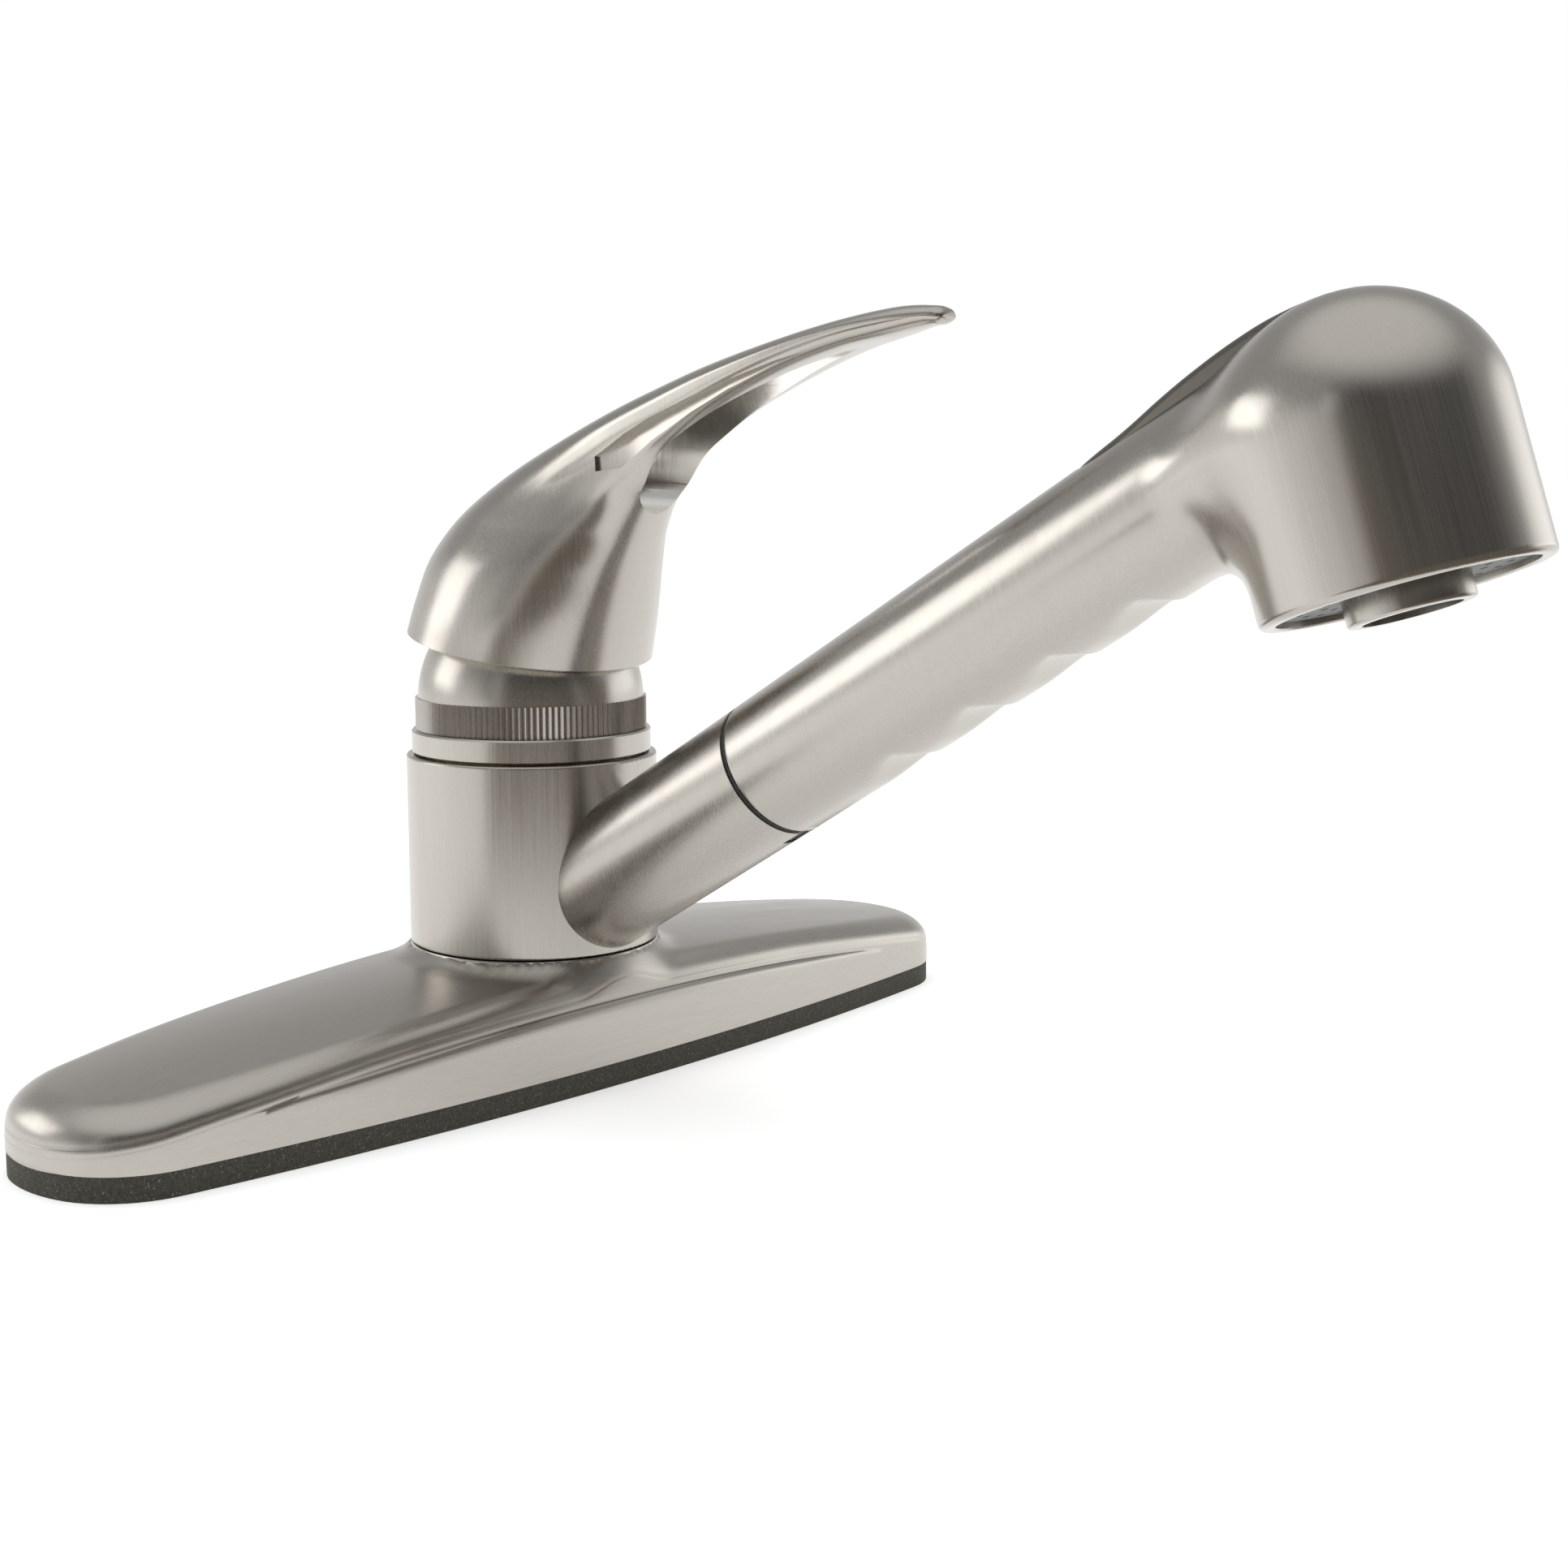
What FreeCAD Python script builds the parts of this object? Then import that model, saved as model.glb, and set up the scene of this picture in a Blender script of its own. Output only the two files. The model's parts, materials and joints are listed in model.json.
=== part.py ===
"""Single-lever kitchen faucet with a pull-out spray head, on a long deck plate.

Origin: on the deck surface, under the hub axis. +X runs along the deck plate, -Y points at the user,
+Z is up. Lengths are in millimetres. Every node is written to parts/NODE.step.
"""
import FreeCAD, Part
import os
from math import atan2, cos, hypot, pi, radians, sin, sqrt

os.makedirs("parts", exist_ok=True)

V = FreeCAD.Vector
UP = V(0, 0, 1)
ACROSS = V(1, 0, 0)

# ---- driving dimensions -------------------------------------------------------------------------
# deck plate
plate_half_length = 130.0
plate_half_width = 31.7
plate_side_radius = 796.0
plate_end_radius = 33.7
plate_corner_radius = 21.0
gasket_height = 5.2
plate_wall = 2.8
plate_ledge_height = 19.0
plate_ledge_inset = 1.4
plate_top_height = 27.6
plate_slope = 0.030
plate_sag = 0.00045
plate_crown = 2.5
plate_edge_fillet = 5.0
plate_tallest = 60.0
boss_height = 28.6
body_screw_radius = 2.4
body_screw_head = 4.4
body_screw_spacing = 46.0
stud_spacing = 203.2
stud_radius = 10.25
stud_thread_radius = 9.6
stud_length = 60.0
deck_thickness = 22.0
bracket_thickness = 3.0
bracket_margin = 0.6
bracket_bottom = gasket_height
bracket_top = bracket_bottom + bracket_thickness
square_half = 9.0
stud_head_radius = 14.0
washer_radius = 17.0
washer_thickness = 2.4
wing_nut_radius = 15.0
wing_nut_height = 11.0
wing_reach = 27.0
centre_opening_radius = 18.5

# hub and valve body
hub_radius = 28.18
hub_bottom = 28.83
hub_top = 71.4
hub_bore_radius = 25.4
bearing_height = 3.0
land_radius = 24.6
land_top = 71.65
flange_radius = 27.5
flange_thickness = 4.0
flange_top = bracket_top + flange_thickness
hose_bore_radius = 8.2
hose_bore_y = -8.0
inlet_radius = 5.0
inlet_neck_radius = 4.6
inlet_bore_radius = 2.6
inlet_thread = 14.0
inlet_hex = 9.6
inlet_hex_height = 5.0
inlet_top = bracket_top + 8.8
inlet_x = 10.5
inlet_y = 6.5
outlet_y = 12.3
waterways = [(-inlet_x, inlet_y), (inlet_x, inlet_y), (0.0, outlet_y)]
inlet_drop = 38.0
oring_minor = 0.95
oring_groove_depth = 1.2
oring_groove_half = 1.1
window_bottom = 36.0
window_top = 59.5
column_front_y = 3.0

# cartridge
cartridge_radius = 17.4
cartridge_floor = 62.0
cartridge_base_height = 4.0
cartridge_shoulder = 76.0
cartridge_neck_radius = 12.6
cartridge_neck_top = 89.0
fixed_disc_thickness = 3.2
fixed_disc_radius = 14.4
disc_floor = cartridge_floor + cartridge_base_height
disc_plane = disc_floor + fixed_disc_thickness
disc_film = 0.01
disc_port_radius = 2.0
disc_port_share = 0.62
base_port_share = 0.8
seal_height = 0.4
moving_disc_thickness = 3.0
moving_disc_radius = 9.6
coupler_flange_top = cartridge_shoulder - 2.3
coupler_top = cartridge_shoulder - 0.6
rotor_radius = 10.3
pivot_pin_radius = 1.6
pivot_pin_half = 10.1
nut_radius = 20.4
nut_height = 5.0
cap_thread_radius = 23.2
cap_thread_top = 81.0

# bonnet ring and knurled dome
ring_radius = 26.91
ring_bottom = 71.7
ring_top = 77.0
knurl_radius = 26.0
knurl_depth = 0.55
knurl_count = 120
knurl_top = 84.05
dome_radius = 25.4
dome_wall = 2.2
dome_opening_radius = 14.5
pivot_height = 83.4

# handle
lever_rest_tilt = 9.5
handle_cavity_radius = 26.6
lever_rows = 44
section_steps = 14
slot_foot_z = 124.5
slot_point_z = 159.6
slot_half_width = 7.3
slot_foot_radius = 6.6
slot_back_y = -16.0
slot_front_y = -125.0
slot_rise = 2.0
stem_half_width = 4.0
stem_ball_radius = 2.0
stem_ball_drop = 8.4
stem_top = 44.0
socket_floor = 27.0
set_screw_radius = 2.5
set_screw_up = 33.0
disc_shift = stem_ball_drop * sin(radians(lever_rest_tilt))

# arm and spray
arm_start_height = 30.47
arm_rise = 30.65
arm_radius = 14.88
arm_end = 86.0
arm_bore_radius = 11.2
dock_bore_radius = 13.4
dock_depth = 20.0
bush_wall = 1.3
bush_flange = 0.6
key_half_width = 1.6
key_length = 5.0
grip_radius = 14.9
grip_start = 86.85
grip_end = 228.0
grip_bore_radius = 11.6
grip_bore_end = 176.0
scallop_pitch = 20.9
scallop_count = 4
scallop_first = 116.3
scallop_depth = 2.0
scallop_radius = 15.0
head_radius = 24.5
head_y = -212.0
head_z = 116.0
head_tilt = 18.6
head_wall_height = 28.0
head_height = 51.0
head_bore_radius = 21.6
head_bore_depth = 30.0
head_channel_radius = 4.6
head_channel_y = -2.4
head_channel_end = 214.0
face_plate_bottom = 1.2
face_plate_top = 5.0
aerator_radius = 10.7
aerator_proud = 3.3
rocker_half_width = 7.6
rocker_start = 180.0
rocker_end = 244.0
rocker_floor = 10.5
rocker_gap = 0.4
rocker_travel = 6.0
rocker_pin_radius = 1.25
rocker_pin_along = 213.0
rocker_pin_height = 8.6
rocker_pin_half = 9.6
rocker_lug_radius = 3.0
rocker_lug_half = 6.0
plunger_radius = 3.4
plunger_bore_radius = 5.0
plunger_bottom = 16.0
plunger_top = 45.0
plunger_collar_radius = 4.6
plunger_collar = 2.0
spring_wire = 0.35
spring_coil_radius = 4.1
spring_turns = 7
spring_floor = head_bore_depth - 6.0

# clearances
running = 0.05
seat = 0.05
free = 0.3


# ---- small tools --------------------------------------------------------------------------------
def cylinder(radius, bottom, top, x=0.0, y=0.0):
    return Part.makeCylinder(radius, top - bottom, V(x, y, bottom), UP)


def tube(outer, inner, bottom, top, x=0.0, y=0.0):
    return cylinder(outer, bottom, top, x, y).cut(cylinder(inner, bottom - 1, top + 1, x, y))


def block(x0, x1, y0, y1, z0, z1):
    return Part.makeBox(x1 - x0, y1 - y0, z1 - z0, V(x0, y0, z0))


def placed(shape, origin, tilt):
    """Turn a shape about the X axis by tilt degrees, then move its own origin to the point."""
    moved = shape.copy()
    turn = FreeCAD.Placement(origin, FreeCAD.Rotation(ACROSS, tilt))
    moved.Placement = turn.multiply(moved.Placement)
    return moved


def ring(major, minor, height):
    return Part.makeTorus(major, minor, V(0, 0, height), UP)


def hexagon(across_flats, bottom, top, x=0.0, y=0.0):
    corner = across_flats / sqrt(3)
    points = [V(x + corner * cos(k * pi / 3), y + corner * sin(k * pi / 3), bottom) for k in range(6)]
    return Part.Face(Part.makePolygon(points + points[:1])).extrude(UP * (top - bottom))


def on_arm(shape):
    """A shape drawn along Z, laid on the axis of the arm."""
    return placed(shape, V(0, 0, arm_start_height), 90 - arm_rise)


def on_head(shape):
    """A shape drawn upward from the spray face, laid on the axis of the head."""
    return placed(shape, V(0, head_y, head_z), -head_tilt)


def on_lever(shape):
    """A shape drawn along Z from the lever's pivot, tilted as the closed lever is."""
    return placed(shape, V(0, 0, pivot_height), lever_rest_tilt)


def save(name, shape):
    shape.exportStep("parts/" + name + ".step")


# ---- deck plate and mounting --------------------------------------------------------------------
def flip_x(point):
    return V(-point.x, point.y, point.z)


def flip_y(point):
    return V(point.x, -point.y, point.z)


def plate_outline(inset, height):
    """Outline of two gentle sides, two round ends and four corner arcs, all tangent."""
    side = plate_side_radius - inset
    end = plate_end_radius - inset
    corner = plate_corner_radius - inset
    side_y = plate_half_width - plate_side_radius
    end_x = plate_half_length - plate_end_radius
    reach_side = side - corner
    reach_end = end - corner
    span = hypot(end_x, side_y)
    along = (reach_side**2 - reach_end**2 + span**2) / (2 * span)
    off = sqrt(reach_side**2 - along**2)
    ux, uy = end_x / span, -side_y / span
    cx = along * ux + off * uy
    cy = side_y + along * uy - off * ux
    t1 = V(cx * side / reach_side, side_y + (cy - side_y) * side / reach_side, height)
    t2 = V(end_x + (cx - end_x) * end / reach_end, cy * end / reach_end, height)
    bisector = atan2(t1.y - cy, t1.x - cx) + atan2(t2.y - cy, t2.x - cx)
    middle = V(cx + corner * cos(bisector / 2), cy + corner * sin(bisector / 2), height)
    top = V(0, side_y + side, height)
    tip = V(end_x + end, 0, height)
    arcs = [
        Part.Arc(flip_x(t1), top, t1),
        Part.Arc(t1, middle, t2),
        Part.Arc(t2, tip, flip_y(t2)),
        Part.Arc(flip_y(t2), flip_y(middle), flip_y(t1)),
        Part.Arc(flip_y(t1), flip_y(top), flip_y(flip_x(t1))),
        Part.Arc(flip_y(flip_x(t1)), flip_y(flip_x(middle)), flip_y(flip_x(t2))),
        Part.Arc(flip_y(flip_x(t2)), flip_x(tip), flip_x(t2)),
        Part.Arc(flip_x(t2), flip_x(middle), flip_x(t1)),
    ]
    return Part.Face(Part.Wire([arc.toShape() for arc in arcs]))


def plate_top(x, y):
    """Height of the plate's crowned top, which falls away towards both ends."""
    fall = plate_slope * sqrt(x * x + 36) + plate_sag * x * x
    return plate_top_height - fall - plate_crown * (y / plate_half_width) ** 2


def ledge_top(x):
    return plate_ledge_height - 6.5 * (x / 100) ** 2


def under_surface(height_at):
    """Everything below a smooth surface z = height_at(x, y) over the plate."""
    reach_x, reach_y = plate_half_length + 6, plate_half_width + 6
    columns = 25
    rows = 7
    grid = []
    for i in range(columns):
        x = -reach_x + 2 * reach_x * i / (columns - 1)
        ys = [-reach_y + 2 * reach_y * j / (rows - 1) for j in range(rows)]
        grid.append([V(x, y, height_at(x, y)) for y in ys])
    surface = Part.BSplineSurface()
    surface.interpolate(grid)
    return surface.toShape().extrude(UP * -plate_tallest)


def plate_mass(inset, base, lower):
    """The plate's outer form, or its hollow when inset and lowered by the wall."""
    def ledge_level(x, y):
        return ledge_top(x) - lower

    def top_level(x, y):
        return plate_top(x, y) - lower

    skirt = plate_outline(inset, base).extrude(UP * plate_tallest)
    upper = plate_outline(inset + plate_ledge_inset, base).extrude(UP * plate_tallest)
    low = skirt.common(under_surface(ledge_level))
    high = upper.common(under_surface(top_level))
    return low, high


def deck_plate():
    low, high = plate_mass(0.0, gasket_height, 0.0)
    rim = [e for e in high.Edges if e.BoundBox.ZMin > 15.0 and e.Length > 2.0]
    high = high.makeFillet(plate_edge_fillet, rim)
    boss = cylinder(hub_radius, gasket_height, boss_height)
    shell = low.fuse(high).fuse(boss).removeSplitter()
    low_hollow, high_hollow = plate_mass(plate_wall, gasket_height - 1, plate_wall)
    hollow = low_hollow.fuse(high_hollow)
    neck_hole = cylinder(land_radius + free, 0, boss_height + 5)
    return shell.cut(hollow).cut(neck_hole)


def stud_places():
    return [-stud_spacing / 2, stud_spacing / 2]


def deck_gasket():
    pad = plate_outline(0.15, 0.0).extrude(UP * gasket_height)
    pad = pad.cut(cylinder(centre_opening_radius, -1, gasket_height + 1))
    for x in stud_places():
        pad = pad.cut(cylinder(stud_radius + 1.75, -1, gasket_height + 1, x))
    for x in body_screw_places():
        pad = pad.cut(cylinder(body_screw_head + free, -1, gasket_height + 1, x))
    return pad


def body_screw_places():
    return [-body_screw_spacing / 2, body_screw_spacing / 2]


def mounting_bracket():
    inset = plate_wall + plate_ledge_inset + bracket_margin
    plate = plate_outline(inset, bracket_bottom).extrude(UP * bracket_thickness)
    plate = plate.cut(cylinder(centre_opening_radius, 0, 20))
    for x in stud_places():
        half = square_half + seat
        plate = plate.cut(block(x - half, x + half, -half, half, 0, 20))
    for x in body_screw_places():
        plate = plate.cut(cylinder(body_screw_radius + free, 0, 20, x))
    return plate


def mounting_studs():
    studs = []
    for x in stud_places():
        half = square_half
        head = cylinder(stud_head_radius, bracket_top, bracket_top + 3.0, x)
        square = block(x - half, x + half, -half, half, bracket_bottom, bracket_top)
        square = square.common(cylinder(12.4, bracket_bottom, bracket_top, x))
        shank = cylinder(stud_radius, -deck_thickness + 2, bracket_bottom, x)
        thread = cylinder(stud_thread_radius, bracket_bottom - stud_length, 2 - deck_thickness, x)
        studs.append(head.fuse([square, shank, thread]).removeSplitter())
    return Part.makeCompound(studs)


def stud_washers():
    top = -deck_thickness
    hole = stud_thread_radius + free
    washers = [tube(washer_radius, hole, top - washer_thickness, top, x) for x in stud_places()]
    return Part.makeCompound(washers)


def wing_nuts():
    top = -deck_thickness - washer_thickness
    nuts = []
    for x in stud_places():
        body = cylinder(wing_nut_radius, top - wing_nut_height, top, x)
        for side in (-1, 1):
            inner, outer = sorted((x + side * 12.0, x + side * wing_reach))
            body = body.fuse(block(inner, outer, -2.0, 2.0, top - 15.0, top - 2.0))
        nuts.append(body.cut(cylinder(stud_thread_radius + running, -100, 0, x)).removeSplitter())
    return Part.makeCompound(nuts)


# ---- valve body ---------------------------------------------------------------------------------
def valve_body():
    tower = cylinder(flange_radius, bracket_top, flange_top)
    tower = tower.fuse(cylinder(land_radius, bracket_top, land_top))
    tower = tower.fuse(cylinder(cap_thread_radius, bracket_top, cap_thread_top))
    window = block(-40, 40, -40, column_front_y, window_bottom, window_top)
    tower = tower.cut(window)
    tower = tower.cut(cylinder(hose_bore_radius, 0, window_top, 0, hose_bore_y))
    tower = tower.cut(cylinder(cartridge_radius + seat, cartridge_floor, 100))
    tower = tower.cut(cylinder(nut_radius + seat, cartridge_shoulder - 0.4, 100))
    for x, y in waterways:
        tower = tower.cut(cylinder(inlet_bore_radius, 0, cartridge_floor + 1, x, y))
        tower = tower.cut(cylinder(inlet_neck_radius + 0.02, 0, inlet_top + 0.2, x, y))
    for x in body_screw_places():
        tower = tower.cut(cylinder(body_screw_radius + seat, 0, flange_top - 0.5, x))
    for height in oring_heights():
        low, high = height - oring_groove_half, height + oring_groove_half
        tower = tower.cut(tube(40, land_radius - oring_groove_depth, low, high))
    return tower.removeSplitter()


def oring_heights():
    return [hub_bottom + bearing_height + 1.9, hub_top - bearing_height - 2.6]


def hub_orings():
    major = land_radius - oring_groove_depth + oring_minor + 0.02
    return Part.makeCompound([ring(major, oring_minor, height) for height in oring_heights()])


def body_screws():
    screws = []
    for x in body_screw_places():
        head = cylinder(body_screw_head, bracket_bottom - 2.6, bracket_bottom, x)
        shank = cylinder(body_screw_radius, bracket_bottom - 1, flange_top - 1.0, x)
        socket = hexagon(4.0, bracket_bottom - 4, bracket_bottom - 1.2, x)
        screws.append(head.fuse(shank).cut(socket))
    return Part.makeCompound(screws)


def nipple(x, y, drop):
    """Hose nipple: a thread below, a hex shoulder, and a neck that goes up into the valve body."""
    thread_end = inlet_thread - drop
    thread = cylinder(inlet_radius, -drop, thread_end, x, y)
    shoulder = hexagon(inlet_hex, thread_end, thread_end + inlet_hex_height, x, y)
    neck = cylinder(inlet_neck_radius, thread_end, inlet_top, x, y)
    body = thread.fuse([shoulder, neck]).removeSplitter()
    return body.cut(cylinder(inlet_bore_radius, -100, 100, x, y))


# ---- cartridge ----------------------------------------------------------------------------------
def port_places(share):
    """The three waterways, drawn in towards the axis as they rise through the cartridge."""
    return [(x * share, y * share) for x, y in waterways]


def cartridge_base():
    base = cylinder(cartridge_radius, cartridge_floor + seal_height, disc_floor)
    for x, y in port_places(base_port_share):
        base = base.cut(cylinder(inlet_bore_radius, 0, disc_floor + 1, x, y))
    return base


def port_seals():
    rings = []
    for x, y in port_places(base_port_share):
        rings.append(tube(3.6, 2.7, cartridge_floor, cartridge_floor + seal_height, x, y))
    return Part.makeCompound(rings)


def fixed_disc():
    disc = cylinder(fixed_disc_radius, disc_floor, disc_plane)
    for x, y in port_places(disc_port_share):
        disc = disc.cut(cylinder(disc_port_radius, disc_floor - 1, disc_plane + 1, x, y))
    return disc


def moving_disc():
    bottom = disc_plane + disc_film
    disc = cylinder(moving_disc_radius, bottom, bottom + moving_disc_thickness, 0, disc_shift)
    pocket = cylinder(5.6, bottom - 1, bottom + 1.4, 0, disc_shift)
    return disc.cut(pocket)


def disc_coupler():
    """Plastic carrier on the moving disc, with the well that the stem's ball pushes."""
    bottom = disc_plane + disc_film + moving_disc_thickness
    body = cylinder(moving_disc_radius, bottom, coupler_flange_top, 0, disc_shift)
    body = body.fuse(cylinder(5.4, bottom, coupler_top, 0, disc_shift)).removeSplitter()
    return body.cut(cylinder(stem_ball_radius + free, bottom + 0.6, coupler_top + 1, 0, disc_shift))


def cartridge_housing():
    bore = rotor_radius + running
    skirt = tube(cartridge_radius, fixed_disc_radius + 0.2, disc_floor, cartridge_shoulder)
    neck = tube(cartridge_neck_radius, bore, cartridge_shoulder - 2.0, cartridge_neck_top)
    roof = tube(cartridge_radius, bore, cartridge_shoulder - 2.0, cartridge_shoulder)
    return skirt.fuse([neck, roof]).removeSplitter()


def stem_rotor():
    """Plastic rotor that turns with the lever and carries its pivot pin."""
    bottom = coupler_top + 0.2
    body = cylinder(rotor_radius, bottom, cartridge_neck_top + 1.0)
    slot_half = stem_half_width + free
    body = body.cut(block(-slot_half, slot_half, -8.4, 8.4, bottom - 1, cartridge_neck_top + 2))
    pin_hole = Part.makeCylinder(pivot_pin_radius + 0.02, 40, V(-20, 0, pivot_height), ACROSS)
    return body.cut(pin_hole)


def pivot_pin():
    start = V(-pivot_pin_half, 0, pivot_height)
    return Part.makeCylinder(pivot_pin_radius, 2 * pivot_pin_half, start, ACROSS)


def cartridge_nut():
    bottom = cartridge_shoulder
    nut = tube(nut_radius, cartridge_neck_radius + free, bottom, bottom + nut_height)
    for k in range(6):
        angle = k * pi / 3
        x, y = nut_radius * cos(angle), nut_radius * sin(angle)
        nut = nut.cut(cylinder(1.8, bottom + nut_height / 2, bottom + nut_height + 1, x, y))
    return nut


# ---- bonnet ring and dome -----------------------------------------------------------------------
def bonnet_ring():
    outer = cylinder(ring_radius, ring_bottom, ring_top - 0.05)
    outer = outer.makeChamfer(0.4, [e for e in outer.Edges if len(e.Vertexes) == 1])
    return outer.cut(cylinder(cap_thread_radius + free, 0, 200))


def knurled_band():
    """Straight-ridged band: a zigzag outline, pushed up."""
    points = []
    for k in range(2 * knurl_count):
        radius = knurl_radius - knurl_depth * (k % 2)
        angle = pi * k / knurl_count
        points.append(V(radius * cos(angle), radius * sin(angle), ring_top))
    face = Part.Face(Part.makePolygon(points + points[:1]))
    return face.extrude(UP * (knurl_top - ring_top))


def dome_cap():
    ball = Part.makeSphere(dome_radius, V(0, 0, pivot_height))
    ball = ball.common(cylinder(60, knurl_top - 0.5, 200))
    cap = knurled_band().fuse(ball)
    inner = Part.makeSphere(dome_radius - dome_wall, V(0, 0, pivot_height))
    cap = cap.cut(inner.common(cylinder(60, cap_thread_top, 200)))
    cap = cap.cut(cylinder(cap_thread_radius + seat, 0, cap_thread_top + 1.0))
    return cap.cut(cylinder(dome_opening_radius, 80, 200))


# ---- spout --------------------------------------------------------------------------------------
def spout_hub():
    hub = cylinder(hub_radius, hub_bottom, hub_top)
    hub = hub.makeFillet(0.6, [e for e in hub.Edges if len(e.Vertexes) == 1])
    arm = on_arm(cylinder(arm_radius, 0, arm_end)).cut(cylinder(hub_radius, 0, hub_bottom))
    hub = hub.fuse(arm)
    hub = hub.cut(cylinder(hub_bore_radius, 0, 200))
    hub = hub.cut(on_arm(cylinder(arm_bore_radius, 15, arm_end + 5)))
    hub = hub.cut(on_arm(cylinder(dock_bore_radius, arm_end - dock_depth, arm_end + 5)))
    return hub.cut(key_notch(0.0))


def key_notch(margin):
    """The notch at the underside of the arm's mouth that the spray's key drops into."""
    half = key_half_width - margin
    start = arm_end - key_length + margin
    return on_arm(block(-half, half, -arm_radius - 1, -grip_bore_radius, start, arm_end + 1))


def dock_bush():
    outer = dock_bore_radius - 0.02
    inner = outer - bush_wall
    bush = tube(outer, inner, arm_end - dock_depth, arm_end + bush_flange)
    flange = tube(arm_radius - 0.5, inner, arm_end, arm_end + bush_flange)
    return on_arm(bush.fuse(flange).removeSplitter()).cut(key_notch(0.0))


def hub_bearing(bottom):
    return tube(hub_bore_radius - 0.01, land_radius + running, bottom, bottom + bearing_height)


# ---- spray --------------------------------------------------------------------------------------
def head_form():
    """Round head: a straight wall up from the spray face, closed by an elliptic dome."""
    rise = head_height - head_wall_height
    ball = Part.makeSphere(head_radius)
    squash = FreeCAD.Matrix()
    squash.scale(1, 1, rise / head_radius)
    cap = ball.transformGeometry(squash)
    cap.translate(V(0, 0, head_wall_height))
    cap = cap.common(cylinder(60, head_wall_height, 200))
    wall = cylinder(head_radius, 0, head_wall_height)
    rim = [e for e in wall.Edges if len(e.Vertexes) == 1 and e.BoundBox.ZMax < 0.1]
    return on_head(wall.makeFillet(1.2, rim).fuse(cap).removeSplitter())


def grip_form(end):
    grip = cylinder(grip_radius, grip_start, end)
    rim = [e for e in grip.Edges if len(e.Vertexes) == 1 and e.BoundBox.ZMax < grip_start + 0.1]
    return on_arm(grip.makeFillet(0.7, rim))


def scallops():
    """Cross cylinders that leave the finger grooves along the grip's underside."""
    cutters = []
    for k in range(scallop_count):
        along = scallop_first + k * scallop_pitch
        depth = -grip_radius + scallop_depth - scallop_radius
        cutters.append(Part.makeCylinder(scallop_radius, 60, V(-30, depth, along), ACROSS))
    return on_arm(Part.makeCompound(cutters))


def rocker_form(grow):
    """Thumb rocker from its side view, in (height over the arm axis, place along it), plus its lug."""
    start, end = rocker_start - grow, rocker_end + grow
    length = end - start
    low = grip_radius - 0.5 + grow
    crest = grip_radius + 2.7 + grow
    floor = rocker_floor - grow
    upper = Part.BSplineCurve()
    upper.interpolate([
        V(0, low, start),
        V(0, crest - 0.9, start + 0.39 * length),
        V(0, crest, start + 0.63 * length),
        V(0, crest - 1.5, start + 0.89 * length),
        V(0, floor + 2.2, end),
    ])
    corners = [
        V(0, floor + 2.2, end),
        V(0, floor, end - 6),
        V(0, floor, start + 14),
        V(0, floor + 2.3, start),
        V(0, low, start),
    ]
    edges = [upper.toShape()] + [Part.makeLine(a, b) for a, b in zip(corners, corners[1:])]
    half = rocker_half_width + grow
    body = Part.Face(Part.Wire(edges)).extrude(ACROSS * (2 * half))
    body.translate(V(-half, 0, 0))
    return body.fuse(rocker_pin_cylinder(rocker_lug_radius + grow, rocker_lug_half + grow))


def rocker_pin_cylinder(radius, half):
    return Part.makeCylinder(radius, 2 * half, V(-half, rocker_pin_height, rocker_pin_along), ACROSS)


def rocker_pocket():
    """Room for the rocker over its whole travel."""
    pocket = rocker_form(rocker_gap)
    pin = V(0, rocker_pin_height, rocker_pin_along)
    for share in (0.5, 1.0):
        turned = rocker_form(rocker_gap)
        turned.rotate(pin, ACROSS, -rocker_travel * share)
        pocket = pocket.fuse(turned)
    return pocket


def spray_shell():
    body = grip_form(grip_end).fuse(head_form()).removeSplitter()
    body = body.cut(scallops())
    body = body.cut(on_arm(cylinder(grip_bore_radius, 0, grip_bore_end)))
    channel = cylinder(head_channel_radius, grip_bore_end - 1, head_channel_end, 0, head_channel_y)
    body = body.cut(on_arm(channel))
    body = body.cut(on_head(cylinder(head_bore_radius, -5, head_bore_depth)))
    body = body.cut(on_head(cylinder(plunger_bore_radius, 0, plunger_top + 4)))
    body = body.cut(on_arm(rocker_pocket()))
    return body.cut(on_arm(rocker_pin_cylinder(rocker_pin_radius + 0.01, rocker_pin_half + 0.1)))


def rocker():
    bore = rocker_pin_cylinder(rocker_pin_radius + running, rocker_lug_half + 5)
    return on_arm(rocker_form(0.0).cut(bore))


def rocker_pin():
    return on_arm(rocker_pin_cylinder(rocker_pin_radius, rocker_pin_half))


def spray_inlet():
    """Brass spigot that docks in the arm; the hose screws into its lower end."""
    outer = dock_bore_radius - 0.02 - bush_wall - running
    spigot = cylinder(outer, arm_end - dock_depth + 2.0, grip_start - 0.1)
    spigot = spigot.fuse(cylinder(grip_bore_radius - 0.02, grip_start - 1, grip_start + 12))
    spigot = spigot.cut(cylinder(7.2, 0, arm_end - dock_depth + 12))
    spigot = spigot.cut(cylinder(5.0, 0, 200))
    return on_arm(spigot.removeSplitter())


def spray_key():
    return key_notch(0.25).common(on_arm(tube(arm_radius - 0.4, 12.3, 0, arm_end + 0.5)))


def check_valve():
    bottom = grip_start + 2.0
    return on_arm(cylinder(4.95, bottom, bottom + 7.0).cut(cylinder(2.2, 0, 200)))


def hose_washer():
    bottom = arm_end - dock_depth + 10.4
    return on_arm(tube(7.1, 5.0, bottom, bottom + 1.6))


def grip_tube():
    start = grip_start + 12.0
    return on_arm(tube(7.0, 5.2, start, grip_bore_end))


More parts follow.
